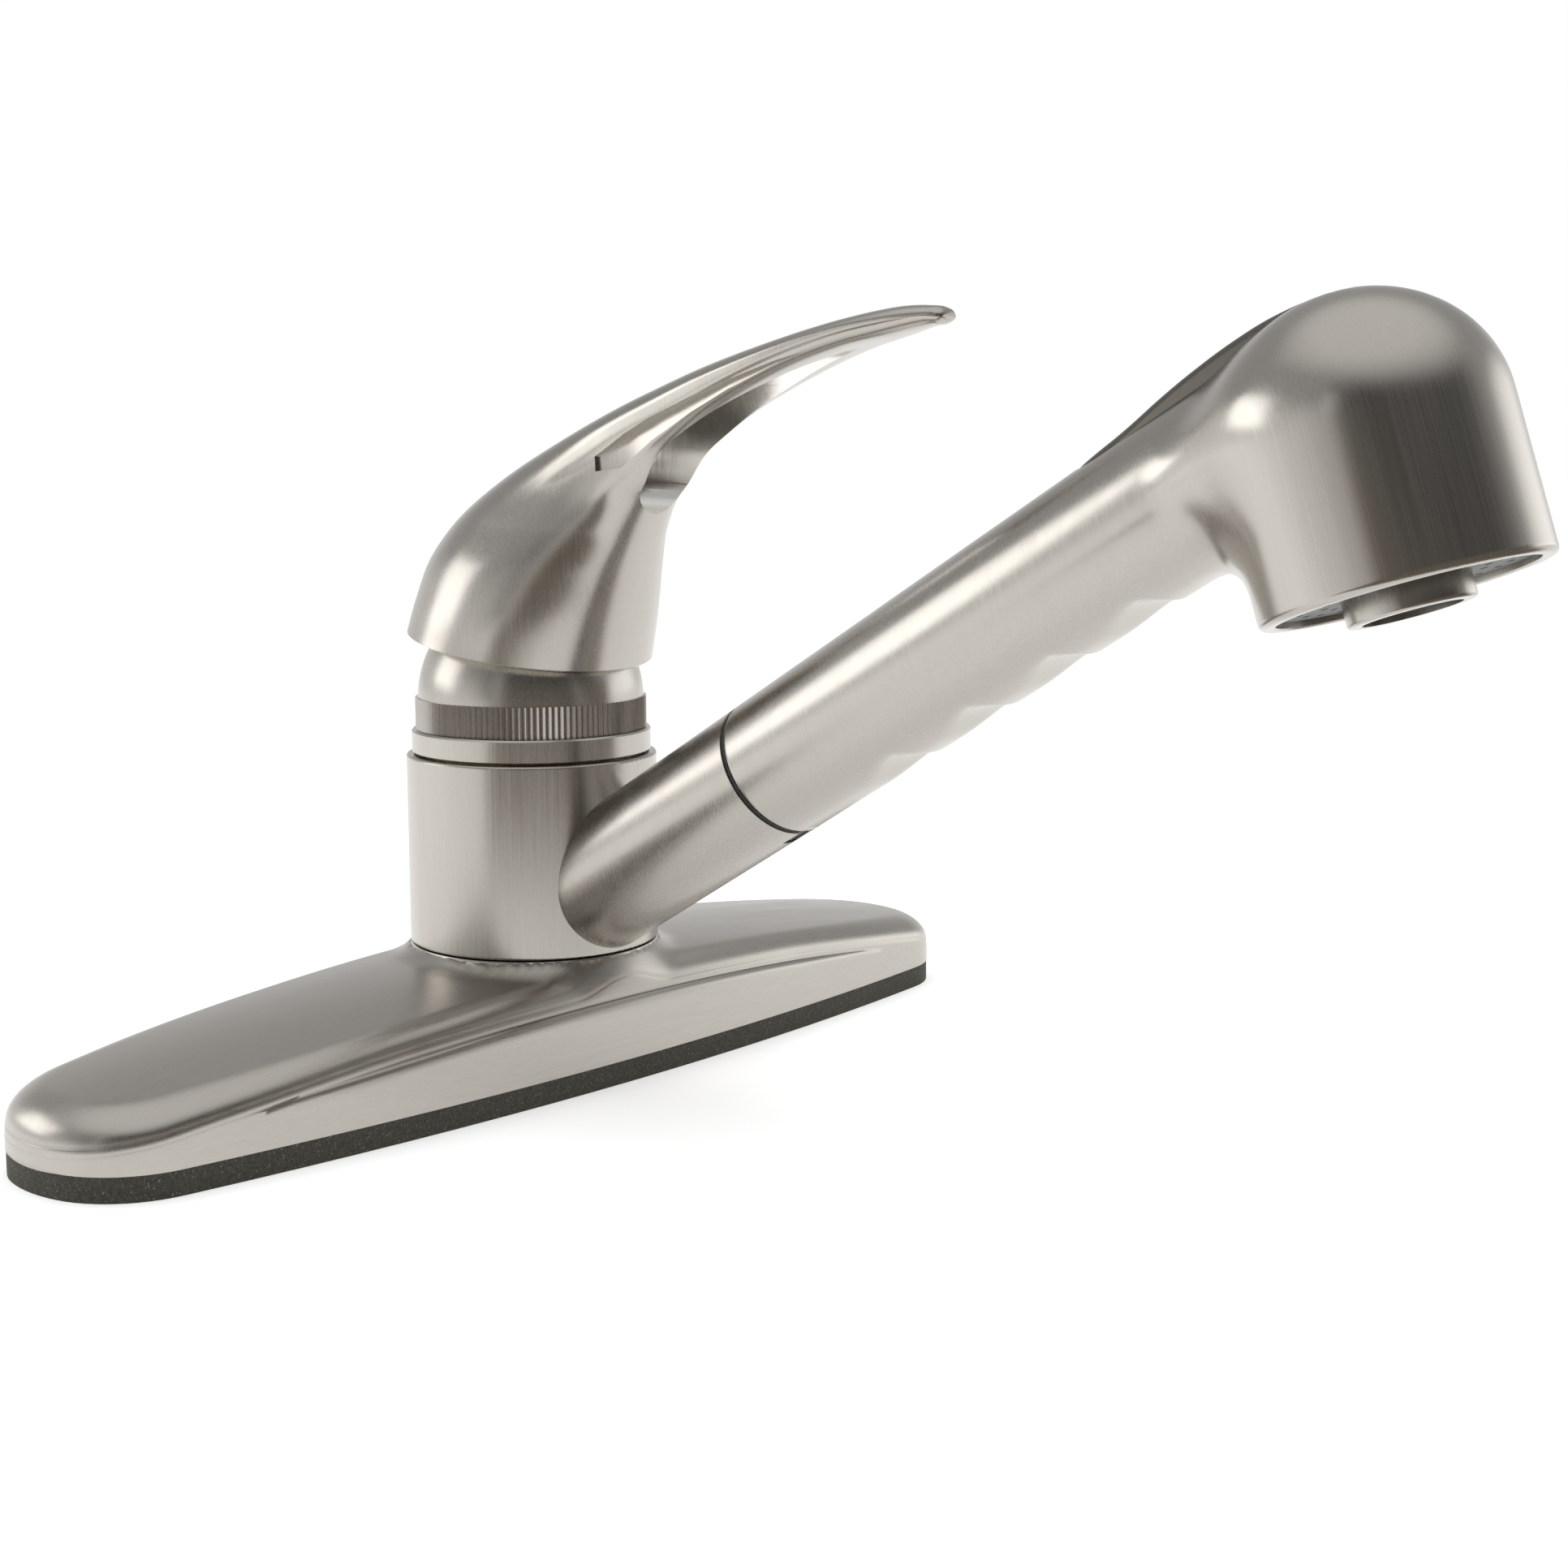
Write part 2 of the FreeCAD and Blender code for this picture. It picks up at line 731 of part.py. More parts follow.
def diverter_housing():
    body = cylinder(head_bore_radius - seat, face_plate_top, head_bore_depth - 1.0)
    body = body.cut(cylinder(plunger_radius + running, 12.0, 60))
    body = body.cut(cylinder(plunger_bore_radius, spring_floor, 60))
    body = body.cut(cylinder(6.0, 0, 10.0))
    for k in range(6):
        angle = k * pi / 3
        body = body.cut(cylinder(2.2, 0, 20.0, 14 * cos(angle), 14 * sin(angle)))
    return on_head(body)


def spray_face():
    plate = cylinder(head_bore_radius - seat, face_plate_bottom, face_plate_top)
    plate = plate.cut(cylinder(aerator_radius - 1.2, 0, 10))
    for count, radius in ((16, 13.4), (22, 17.6)):
        for k in range(count):
            angle = 2 * pi * k / count
            plate = plate.cut(cylinder(0.7, 0, 10, radius * cos(angle), radius * sin(angle)))
    return on_head(plate)


def aerator_ring():
    ring_body = cylinder(aerator_radius, -aerator_proud, face_plate_bottom)
    rim = [e for e in ring_body.Edges if len(e.Vertexes) == 1 and e.BoundBox.ZMax < -1]
    ring_body = ring_body.makeFillet(0.6, rim)
    ring_body = ring_body.fuse(cylinder(aerator_radius - 1.25, 1.0, 4.8))
    return on_head(ring_body.removeSplitter().cut(cylinder(8.3, -10, 10)))


def aerator_insert():
    core = cylinder(8.25, -aerator_proud + 1.0, 4.6)
    for row in range(-3, 4):
        for column in range(-3, 4):
            x, y = 2.3 * column, 2.3 * row
            if hypot(x, y) < 7.2:
                core = core.cut(block(x - 0.8, x + 0.8, y - 0.8, y + 0.8, -10, 10))
    return on_head(core)


def diverter_plunger():
    stem = cylinder(plunger_radius, plunger_bottom, plunger_top - plunger_collar)
    collar = cylinder(plunger_collar_radius, plunger_top - plunger_collar, plunger_top)
    return on_head(stem.fuse(collar).removeSplitter())


def diverter_spring():
    """Compression spring around the plunger, under its collar."""
    length = plunger_top - plunger_collar - spring_floor - 2 * spring_wire - 0.1
    path = Part.makeHelix(length / spring_turns, length, spring_coil_radius)
    corners = []
    for k in range(6):
        angle = k * pi / 3
        corners.append(V(spring_coil_radius + spring_wire * cos(angle), 0, spring_wire * sin(angle)))
    section = Part.makePolygon(corners + corners[:1])
    coil = Part.Wire(path).makePipeShell([section], True, True)
    coil.translate(V(0, 0, spring_floor + spring_wire + 0.05))
    return on_head(coil)


# ---- handle -------------------------------------------------------------------------------------
# station: (rear y, rear z, front y, front z, half width, crown share, lower exponent)
lever_stations = [
    (27.22, 100.25, -27.22, 91.15, 27.6, 0.50, 2.0),
    (25.3, 107.2, -30.6, 102.6, 26.0, 0.50, 2.0),
    (22.0, 115.6, -34.0, 113.0, 23.2, 0.48, 2.0),
    (14.6, 124.4, -37.6, 121.4, 18.6, 0.44, 2.1),
    (1.0, 133.2, -41.4, 127.6, 14.4, 0.38, 2.4),
    (-16.0, 141.3, -44.8, 131.6, 11.8, 0.36, 3.0),
    (-31.0, 147.2, -48.4, 137.2, 10.7, 0.36, 4.0),
    (-46.0, 152.3, -53.6, 141.4, 10.2, 0.38, 5.0),
    (-62.0, 157.0, -64.6, 147.6, 10.1, 0.40, 5.0),
    (-80.0, 161.3, -80.4, 154.1, 9.6, 0.42, 4.5),
    (-95.0, 164.4, -94.0, 158.2, 8.3, 0.44, 3.6),
    (-107.0, 166.1, -105.2, 160.4, 6.5, 0.48, 2.6),
    (-114.6, 166.0, -112.8, 162.0, 4.1, 0.50, 2.0),
    (-117.0, 165.0, -116.2, 163.2, 2.0, 0.50, 2.0),
]


def smooth_rows(rows, count):
    """Evenly spaced rows on the smooth curves through the given rows of numbers."""
    steps = [float(i) for i in range(len(rows))]
    curves = []
    for column in zip(*rows):
        curve = Part.BSplineCurve()
        curve.interpolate([V(i, value, 0) for i, value in zip(steps, column)], Parameters=steps)
        curves.append(curve)
    places = [steps[-1] * i / (count - 1) for i in range(count)]
    return [[curve.value(place).y for curve in curves] for place in places]


def half_section(row, side):
    """Half of a section from rear to front: an elliptic crown, then a squarer lower half."""
    rear_y, rear_z, front_y, front_z, half_width, crown, exponent = row
    depth = hypot(front_y - rear_y, front_z - rear_z)
    down = V(0, front_y - rear_y, front_z - rear_z) * (1 / depth)
    centre = V(0, rear_y, rear_z) + down * (crown * depth)
    points = []
    for k in range(section_steps + 1):
        c = cos(pi * k / section_steps)
        s = 0.0 if k in (0, section_steps) else sin(pi * k / section_steps)
        if c > 0:
            x, drop = half_width * s, -crown * depth * c
        else:
            x = half_width * s ** (2 / exponent)
            drop = (1 - crown) * depth * abs(c) ** (2 / exponent)
        points.append(centre + down * drop + ACROSS * (x * side))
    return points


def skin(rows, side):
    surface = Part.BSplineSurface()
    surface.interpolate([half_section(row, side) for row in rows])
    return surface.toShape()


def end_cap(skins, row):
    """Flat face that closes the two skins at one end row."""
    ends = [V(0, row[0], row[1]), V(0, row[2], row[3])]
    edges = []
    for face in skins:
        for edge in face.Edges:
            points = [vertex.Point for vertex in edge.Vertexes]
            if all(min((p - q).Length for q in ends) < 1e-4 for p in points) and len(points) == 2:
                edges.append(edge)
    return Part.Face(Part.Wire(Part.sortEdges(edges)[0]))


def lever_form():
    rows = smooth_rows(lever_stations, lever_rows)
    skins = [skin(rows, 1), skin(rows, -1)]
    caps = [end_cap(skins, rows[0]), end_cap(skins, rows[-1])]
    return Part.Solid(Part.Shell(skins + caps))


def lever_slot():
    """Teardrop slot run back through the lever: round at its foot, pointed towards the tip."""
    centre_z = slot_foot_z + slot_foot_radius
    sides = [
        V(-slot_foot_radius, 0, centre_z),
        V(-slot_half_width, 0, centre_z + 7.5),
        V(-0.74 * slot_half_width, 0, centre_z + 18.5),
        V(0, 0, slot_point_z),
    ]
    side = Part.BSplineCurve()
    side.interpolate(sides, InitialTangent=UP, FinalTangent=V(0.9, 0, 1))
    other = side.toShape().mirror(V(0, 0, 0), ACROSS)
    foot = V(0, 0, slot_foot_z)
    arc = Part.Arc(V(-slot_foot_radius, 0, centre_z), foot, V(slot_foot_radius, 0, centre_z))
    face = Part.Face(Part.Wire([arc.toShape(), other, side.toShape()]))
    face.translate(V(0, slot_front_y, -slot_rise))
    return face.extrude(V(0, slot_back_y - slot_front_y, 2 * slot_rise))


def stem_box(half, bottom, top):
    return on_lever(block(-half, half, -half, half, bottom, top))


def handle():
    body = lever_form().cut(lever_slot())
    cavity = Part.makeSphere(handle_cavity_radius, V(0, 0, pivot_height))
    body = body.cut(cavity)
    body = body.cut(stem_box(stem_half_width + seat, socket_floor - 5, stem_top + 0.5))
    screw_hole = Part.makeCylinder(set_screw_radius + seat, 40, V(0, 0, set_screw_up), V(0, 1, 0))
    return body.cut(on_lever(screw_hole))


def set_screw():
    start = stem_half_width + 0.1
    screw = Part.makeCylinder(set_screw_radius, 8.0, V(0, start, set_screw_up), V(0, 1, 0))
    socket = Part.makeCylinder(1.2, 3.0, V(0, start + 5.5, set_screw_up), V(0, 1, 0))
    return on_lever(screw.cut(socket))


def lever_stem():
    """Square stem with a round pivot eye, ending below in the ball that moves the disc."""
    half = stem_half_width
    bar = block(-half, half, -half, half, -3.4, stem_top)
    shank = cylinder(1.5, -stem_ball_drop, 0)
    ball = Part.makeSphere(stem_ball_radius, V(0, 0, -stem_ball_drop))
    stem = bar.fuse([shank, ball])
    eye = Part.makeCylinder(pivot_pin_radius + running, 40, V(-20, 0, 0), ACROSS)
    return on_lever(stem.cut(eye).removeSplitter())


# ---- write every node ---------------------------------------------------------------------------
def main():
    save("deck_gasket", deck_gasket())
    save("deck_plate", deck_plate())
    save("mounting_bracket", mounting_bracket())
    save("mounting_studs", mounting_studs())
    save("stud_washers", stud_washers())
    save("wing_nuts", wing_nuts())
    save("valve_body", valve_body())
    save("body_screws", body_screws())
    save("hot_inlet", nipple(-inlet_x, inlet_y, inlet_drop))
    save("cold_inlet", nipple(inlet_x, inlet_y, inlet_drop))
    save("hose_outlet", nipple(0.0, outlet_y, inlet_drop))
    save("hub_orings", hub_orings())
    save("cartridge_base", cartridge_base())
    save("port_seals", port_seals())
    save("fixed_disc", fixed_disc())
    save("cartridge_housing", cartridge_housing())
    save("cartridge_nut", cartridge_nut())
    save("bonnet_ring", bonnet_ring())
    save("dome_cap", dome_cap())
    save("spout_hub", spout_hub())
    save("dock_bush", dock_bush())
    save("lower_bearing", hub_bearing(hub_bottom + 0.1))
    save("upper_bearing", hub_bearing(hub_top - bearing_height - 0.7))
    save("stem_rotor", stem_rotor())
    save("pivot_pin", pivot_pin())
    save("moving_disc", moving_disc())
    save("disc_coupler", disc_coupler())
    save("handle", handle())
    save("lever_stem", lever_stem())
    save("set_screw", set_screw())
    save("spray_shell", spray_shell())
    save("spray_inlet", spray_inlet())
    save("spray_key", spray_key())
    save("check_valve", check_valve())
    save("hose_washer", hose_washer())
    save("grip_tube", grip_tube())
    save("diverter_housing", diverter_housing())
    save("spray_face", spray_face())
    save("aerator_ring", aerator_ring())
    save("aerator_insert", aerator_insert())
    save("diverter_plunger", diverter_plunger())
    save("diverter_spring", diverter_spring())
    save("rocker", rocker())
    save("rocker_pin", rocker_pin())


main()
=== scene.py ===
"""Looks of a single-lever pull-out kitchen faucet on a long deck plate.

Frame: origin on the deck surface under the hub axis, +X along the plate, -Y towards the user,
+Z up. The scene is in metres; shapes are worked out in millimetres until make() scales them.
"""
import json
from math import atan2, cos, pi, radians, sin, sqrt

import bmesh
import bpy
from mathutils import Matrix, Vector


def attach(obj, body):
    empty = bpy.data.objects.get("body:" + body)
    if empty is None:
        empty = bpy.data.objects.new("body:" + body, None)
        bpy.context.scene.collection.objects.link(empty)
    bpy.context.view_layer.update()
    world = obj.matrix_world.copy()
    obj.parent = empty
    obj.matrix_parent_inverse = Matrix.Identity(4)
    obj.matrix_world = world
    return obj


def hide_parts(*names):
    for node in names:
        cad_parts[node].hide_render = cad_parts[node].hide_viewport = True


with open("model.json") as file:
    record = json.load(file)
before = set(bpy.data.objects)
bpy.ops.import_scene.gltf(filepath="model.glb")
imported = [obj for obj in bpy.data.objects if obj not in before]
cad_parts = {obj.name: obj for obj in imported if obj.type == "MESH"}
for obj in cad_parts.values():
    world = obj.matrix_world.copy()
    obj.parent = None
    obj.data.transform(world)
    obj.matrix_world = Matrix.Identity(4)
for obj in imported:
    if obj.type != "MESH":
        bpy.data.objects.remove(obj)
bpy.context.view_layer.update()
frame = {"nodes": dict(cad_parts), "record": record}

# ---- driving values --------------------------------------------------------------------------------
ARM_AXIS_Z = 30.47  # height at which the arm's axis meets the hub's, mm
ARM_RISE = radians(30.65)
HEAD_FACE_Y, HEAD_FACE_Z = -212.0, 116.0  # middle of the head's open face, mm
HEAD_TILT = radians(18.6)
CAMERA_PLACE = Vector((-0.347593, -0.382420, 0.140566))
CAMERA_AIM = Vector((0.08649, 0.0, 0.05389))
CAMERA_LENS = 52.41
LIGHT_AIM = Vector((0.0, -0.08, 0.09))


# ---- materials -------------------------------------------------------------------------------------
class Nodes:
    """A material's node tree, with short ways to add and link nodes."""

    def __init__(self, name):
        self.material = bpy.data.materials.new(name)
        self.material.use_nodes = True
        self.tree = self.material.node_tree
        self.shader = self.tree.nodes["Principled BSDF"]

    def add(self, kind, **values):
        node = self.tree.nodes.new(kind)
        for key, value in values.items():
            if key in node.inputs:
                node.inputs[key].default_value = value
            else:
                setattr(node, key, value)
        return node

    def link(self, source, target):
        self.tree.links.new(source, target)

    def place(self, turn=(0.0, 0.0, 0.0), scale=(1.0, 1.0, 1.0)):
        """Object coordinates, turned and scaled."""
        coordinates = self.add("ShaderNodeTexCoord")
        mapping = self.add("ShaderNodeMapping")
        mapping.vector_type = "TEXTURE"
        mapping.inputs["Rotation"].default_value = turn
        self.link(coordinates.outputs["Object"], mapping.inputs["Vector"])
        stretch = self.add("ShaderNodeVectorMath", operation="MULTIPLY")
        stretch.inputs[1].default_value = scale
        self.link(mapping.outputs["Vector"], stretch.inputs[0])
        return stretch.outputs["Vector"]

    def noise(self, vector, scale=1.0, detail=3.0, roughness=0.6):
        node = self.add("ShaderNodeTexNoise", Scale=scale, Detail=detail, Roughness=roughness)
        self.link(vector, node.inputs["Vector"])
        return node.outputs["Fac"]

    def span(self, value, low, high, start=0.0, end=1.0):
        """The value, spread from one range to another."""
        node = self.add("ShaderNodeMapRange")
        for key, number in (("From Min", start), ("From Max", end), ("To Min", low), ("To Max", high)):
            node.inputs[key].default_value = number
        self.link(value, node.inputs["Value"])
        return node.outputs["Result"]

    def tint(self, factor, first, second):
        node = self.add("ShaderNodeMix", data_type="RGBA")
        node.inputs[6].default_value = (*first, 1.0)
        node.inputs[7].default_value = (*second, 1.0)
        self.link(factor, node.inputs[0])
        return node.outputs[2]

    def bump(self, height, strength, distance):
        node = self.add("ShaderNodeBump", Strength=strength, Distance=distance)
        self.link(height, node.inputs["Height"])
        self.link(node.outputs["Normal"], self.shader.inputs["Normal"])

    def set(self, **values):
        for key, value in values.items():
            self.shader.inputs[key.replace("_", " ")].default_value = value


FINE_SCRATCHES = (2600.0, 2600.0, 24.0)
BROAD_SCRATCHES = (220.0, 220.0, 9.0)
BLOTCHES = (26.0, 26.0, 18.0)
NOISE_BAND = (0.3, 0.7)
GRAIN_BAND = (0.35, 0.65)


def brushed(name, light, dark, rough, turn=(0.0, 0.0, 0.0)):
    """Brushed metal whose scratches run along the local Z of the turned coordinates."""
    m = Nodes(name)
    scratches = m.noise(m.place(turn, FINE_SCRATCHES), detail=4.0, roughness=0.7)
    broad = m.noise(m.place(turn, BROAD_SCRATCHES), detail=2.0)
    blotch = m.noise(m.place(turn, BLOTCHES), detail=2.0)
    colour = m.tint(m.span(scratches, 0.0, 1.0, *NOISE_BAND), dark, light)
    m.link(colour, m.shader.inputs["Base Color"])
    mixed = m.add("ShaderNodeMath", operation="ADD")
    m.link(m.span(scratches, -0.035, 0.035, *NOISE_BAND), mixed.inputs[0])
    m.link(m.span(broad, rough - 0.02, rough + 0.02, *NOISE_BAND), mixed.inputs[1])
    second = m.add("ShaderNodeMath", operation="ADD")
    m.link(mixed.outputs[0], second.inputs[0])
    m.link(m.span(blotch, -0.008, 0.008, *NOISE_BAND), second.inputs[1])
    m.link(second.outputs[0], m.shader.inputs["Roughness"])
    m.bump(scratches, 0.06, 0.00004)
    m.set(Metallic=1.0)
    return m.material


def plain(name, light, dark, rough, metallic=0.0, grain=900.0):
    """Moulded or machined surface with a fine grain."""
    m = Nodes(name)
    grains = m.noise(m.place(scale=(grain, grain, grain)), detail=3.0)
    colour = m.tint(m.span(grains, 0.0, 1.0, *GRAIN_BAND), dark, light)
    m.link(colour, m.shader.inputs["Base Color"])
    m.link(m.span(grains, rough - 0.05, rough + 0.05, *GRAIN_BAND), m.shader.inputs["Roughness"])
    m.bump(grains, 0.15, 0.00005)
    m.set(Metallic=metallic)
    return m.material


def speckled_rubber():
    """Dark olive gasket with tiny pale specks."""
    m = Nodes("gasket_rubber")
    grains = m.noise(m.place(scale=(1500.0, 1500.0, 1500.0)), detail=3.0)
    specks = m.noise(m.place(scale=(2600.0, 2600.0, 2600.0)), detail=1.0)
    olive_dark, olive_light = (0.030, 0.027, 0.018), (0.060, 0.055, 0.040)
    base = m.tint(m.span(grains, 0.0, 1.0, *GRAIN_BAND), olive_dark, olive_light)
    mix = m.add("ShaderNodeMix", data_type="RGBA")
    mix.inputs[7].default_value = (0.22, 0.20, 0.15, 1.0)
    m.link(base, mix.inputs[6])
    m.link(m.span(specks, 0.0, 1.0, 0.66, 0.72), mix.inputs[0])
    m.link(mix.outputs[2], m.shader.inputs["Base Color"])
    m.set(Roughness=0.75)
    m.bump(grains, 0.4, 0.0001)
    return m.material


NICKEL_LIGHT, NICKEL_DARK = (0.50, 0.474, 0.434), (0.452, 0.427, 0.389)
along_head = (-HEAD_TILT, 0.0, 0.0)
along_plate = (0.0, pi / 2, 0.0)
looks = {
    "hub": brushed("nickel_hub", NICKEL_LIGHT, NICKEL_DARK, 0.27),
    "head": brushed("nickel_head", NICKEL_LIGHT, NICKEL_DARK, 0.25, along_head),
    "plate": brushed("nickel_plate", NICKEL_LIGHT, NICKEL_DARK, 0.30, along_plate),
    "lever": brushed("nickel_lever", NICKEL_LIGHT, NICKEL_DARK, 0.25),
    # much lighter nickel for the wall inside the loop: a painted highlight standing in for the bright
    # reflection there
    "bright": brushed("nickel_painted_highlight", (0.93, 0.91, 0.87), (0.88, 0.86, 0.82), 0.20),
    # matte nickel: the matte finish is real, but its very dark base is painted shade for the dark
    # surroundings it reflects
    "matte": plain("nickel_matte_painted_shade", (0.17, 0.158, 0.138), (0.14, 0.130, 0.113), 0.46, 1.0, 1400.0),
    "brass": plain("brass", (0.72, 0.55, 0.28), (0.62, 0.46, 0.22), 0.32, 1.0, 700.0),
    "steel": plain("zinc_steel", (0.66, 0.67, 0.68), (0.56, 0.57, 0.58), 0.35, 1.0, 700.0),
    "seal": plain("seal_rubber", (0.035, 0.035, 0.035), (0.02, 0.02, 0.02), 0.55),
    "gasket": speckled_rubber(),
    "plastic": plain("cartridge_plastic", (0.78, 0.78, 0.75), (0.70, 0.70, 0.67), 0.45),
    "dark": plain("dark_plastic", (0.05, 0.05, 0.05), (0.03, 0.03, 0.03), 0.45),
    "ceramic": plain("ceramic", (0.86, 0.86, 0.84), (0.80, 0.80, 0.78), 0.18),
}
by_slot = {
    "brushed_nickel": "hub",
    "matte_nickel": "matte",
    "brass": "brass",
    "zinc_steel": "steel",
    "gasket_rubber": "gasket",
    "seal_rubber": "seal",
    "cartridge_plastic": "plastic",
    "dark_plastic": "dark",
    "ceramic": "ceramic",
}
by_node = {
    "deck_plate": "plate",
    "spray_shell": "head",
    "handle": "lever",
    "aerator_ring": "head",
}


def dress(obj, look):
    obj.data.materials.clear()
    obj.data.materials.append(looks[look])


for part in frame["record"]["subparts"]:
    node = frame["nodes"][part["node"]]
    dress(node, by_node.get(part["node"], by_slot[part["material_slot"]]))


# ---- mesh tools, in millimetres until the mesh is made ----------------------------------------------
# angles between faces, in degrees, over which an edge is drawn hard
SHELL_SHARP, LEVER_SHARP, ROCKER_SHARP = 34.0, 32.0, 50.0


def smooth_min(a, b, k):
    """The smaller value, rounded over where the two are within k of each other."""
    h = max(k - abs(a - b), 0.0) / k
    return min(a, b) - h * h * k / 4


def smooth_max(a, b, k):
    return -smooth_min(-a, -b, k)


def ease(value, start, end):
    """0 before start, 1 after end, and a soft step between them."""
    s = min(max((value - start) / (end - start), 0.0), 1.0)
    return s * s * (3 - 2 * s)


def arm_point(along, up, x=0.0):
    """Point from its place along the arm's axis, its height over that axis and its X."""
    c, s = cos(ARM_RISE), sin(ARM_RISE)
    return Vector((x, -c * along + s * up, ARM_AXIS_Z + s * along + c * up))


def arm_place(p):
    """Place along the arm's axis and height over it."""
    c, s = cos(ARM_RISE), sin(ARM_RISE)
    return -c * p.y + s * (p.z - ARM_AXIS_Z), s * p.y + c * (p.z - ARM_AXIS_Z)


def head_point(up, forward, x=0.0):
    """Point from its height over the head's face and its place forward of the head's axis."""
    c, s = cos(HEAD_TILT), sin(HEAD_TILT)
    return Vector((x, HEAD_FACE_Y + s * up - c * forward, HEAD_FACE_Z + c * up + s * forward))


def head_place(p):
    """Height over the head's face and place forward of the head's axis."""
    c, s = cos(HEAD_TILT), sin(HEAD_TILT)
    y, z = p.y - HEAD_FACE_Y, p.z - HEAD_FACE_Z
    return s * y + c * z, -c * y + s * z


def make(name, points, faces, look=None, sharp=0.0):
    """A mesh object in metres from points in millimetres; without a look it is a blank or a cutter."""
    mesh = bpy.data.meshes.new(name)
    mesh.from_pydata([tuple(p * 0.001) for p in points], [], faces)
    bm = bmesh.new()
    bm.from_mesh(mesh)
    bmesh.ops.remove_doubles(bm, verts=bm.verts, dist=0.000002)
    bmesh.ops.dissolve_degenerate(bm, edges=bm.edges, dist=0.000001)
    bmesh.ops.recalc_face_normals(bm, faces=bm.faces)
    bm.to_mesh(mesh)
    bm.free()
    obj = bpy.data.objects.new(name, mesh)
    bpy.context.scene.collection.objects.link(obj)
    if look:
        dress(obj, look)
        polish(obj, sharp)
    return obj


def polish(obj, sharp):
    """Smooth shading, with a hard edge wherever faces meet at more than this many degrees."""
    obj.data.shade_smooth()
    obj.data.set_sharp_from_angle(angle=radians(sharp))


def loft(rings, closed_ends=True, wrap=False):
    """Points and faces of a skin through rings that have equal counts of points."""
    count = len(rings[0])
    points = [p for ring in rings for p in ring]
    faces = []
    last = len(rings) if wrap else len(rings) - 1
    for i in range(last):
        a, b = i * count, ((i + 1) % len(rings)) * count
        for j in range(count):
            k = (j + 1) % count
            faces.append((a + j, a + k, b + k, b + j))
    if closed_ends and not wrap:
        faces.append(tuple(range(count))[::-1])
        faces.append(tuple((len(rings) - 1) * count + j for j in range(count)))
    return points, faces


def combine(obj, cutter, operation, look, sharp):
    """Cut a helper from an object, or join it to the object, for good."""
    step = obj.modifiers.new("shape", "BOOLEAN")
    step.operation = operation
    step.object = cutter
    step.solver = "EXACT"
    graph = bpy.context.evaluated_depsgraph_get()
    mesh = bpy.data.meshes.new_from_object(obj.evaluated_get(graph))
    obj.modifiers.clear()
    obj.data = mesh
    bpy.data.objects.remove(cutter)
    dress(obj, look)
    polish(obj, sharp)


def curve_at(rows, place):
    """Smooth row of numbers at a fractional place in a table (Catmull-Rom)."""
    i = min(int(place), len(rows) - 2)
    f = place - i
    before, start = rows[max(i - 1, 0)], rows[i]
    end, after = rows[i + 1], rows[min(i + 2, len(rows) - 1)]
    result = []
    for p, a, b, q in zip(before, start, end, after):
        slope_a, slope_b = (b - p) / 2, (q - a) / 2
        if i == 0:
            slope_a = b - a
        if i == len(rows) - 2:
            slope_b = b - a
        square, cube = f * f, f * f * f
        result.append(
            (2 * cube - 3 * square + 1) * a
            + (cube - 2 * square + f) * slope_a
            + (3 * square - 2 * cube) * b
            + (cube - square) * slope_b
        )
    return result


def disc(radius, centre, axis_x, axis_y, count=96):
    """Circle of points round a centre."""
    points = []
    for k in range(count):
        angle = 2 * pi * k / count
        points.append(centre + axis_x * (radius * cos(angle)) + axis_y * (radius * sin(angle)))
    return points


X, Y, Z = Vector((1, 0, 0)), Vector((0, 1, 0)), Vector((0, 0, 1))


# ---- spray shell ------------------------------------------------------------------------------------
GRIP_RADIUS = 14.9
HEAD_RADIUS = 24.5
HEAD_WALL = 28.0
HEAD_RISE = 23.0
GRIP_END = 221.0
SHELL_WALL = 2.3
CHIN_RADIUS = 24.4
CHIN_PLACE = 185.5
SECTION_START = 88.0
ROCKER_ROOM_FLOOR = 7.5
GROOVE_FIRST, GROOVE_PITCH, GROOVE_COUNT = 119.8, 20.9, 4
GROOVE_DEPTH, GROOVE_RUN_IN, GROOVE_RUN_OUT = 2.1, 11.5, 4.4
# radius and height over the head's face, round the rim to the bore
HEAD_RIM = [
    (24.38, 0.62),
    (24.05, 0.22),
    (23.6, 0.03),
    (22.6, 0.0),
    (22.0, 0.06),
    (21.75, 0.3),
    (21.7, 1.0),
    (21.7, 5.4),
]
# radius and place along the arm, from the bore round the rear lip to the outer wall
GRIP_LIP = [
    (11.65, 91.0),
    (11.65, 87.2),
    (11.9, 86.93),
    (14.1, 86.87),
    (14.5, 86.95),
    (14.78, 87.2),
    (14.9, 87.6),
]


def groove_depth(along):
    """Finger grooves: each deepens slowly towards the head, then comes back sharply."""
    deepest = 0.0
    for k in range(GROOVE_COUNT):
        u = along - (GROOVE_FIRST + GROOVE_PITCH * k)
        if -GROOVE_RUN_IN < u <= 0:
            deepest = max(deepest, GROOVE_DEPTH * sin(pi / 2 * (1 + u / GROOVE_RUN_IN)) ** 1.6)
        elif 0 < u < GROOVE_RUN_OUT:
            deepest = max(deepest, GROOVE_DEPTH * cos(pi / 2 * u / GROOVE_RUN_OUT) ** 1.2)
    return deepest


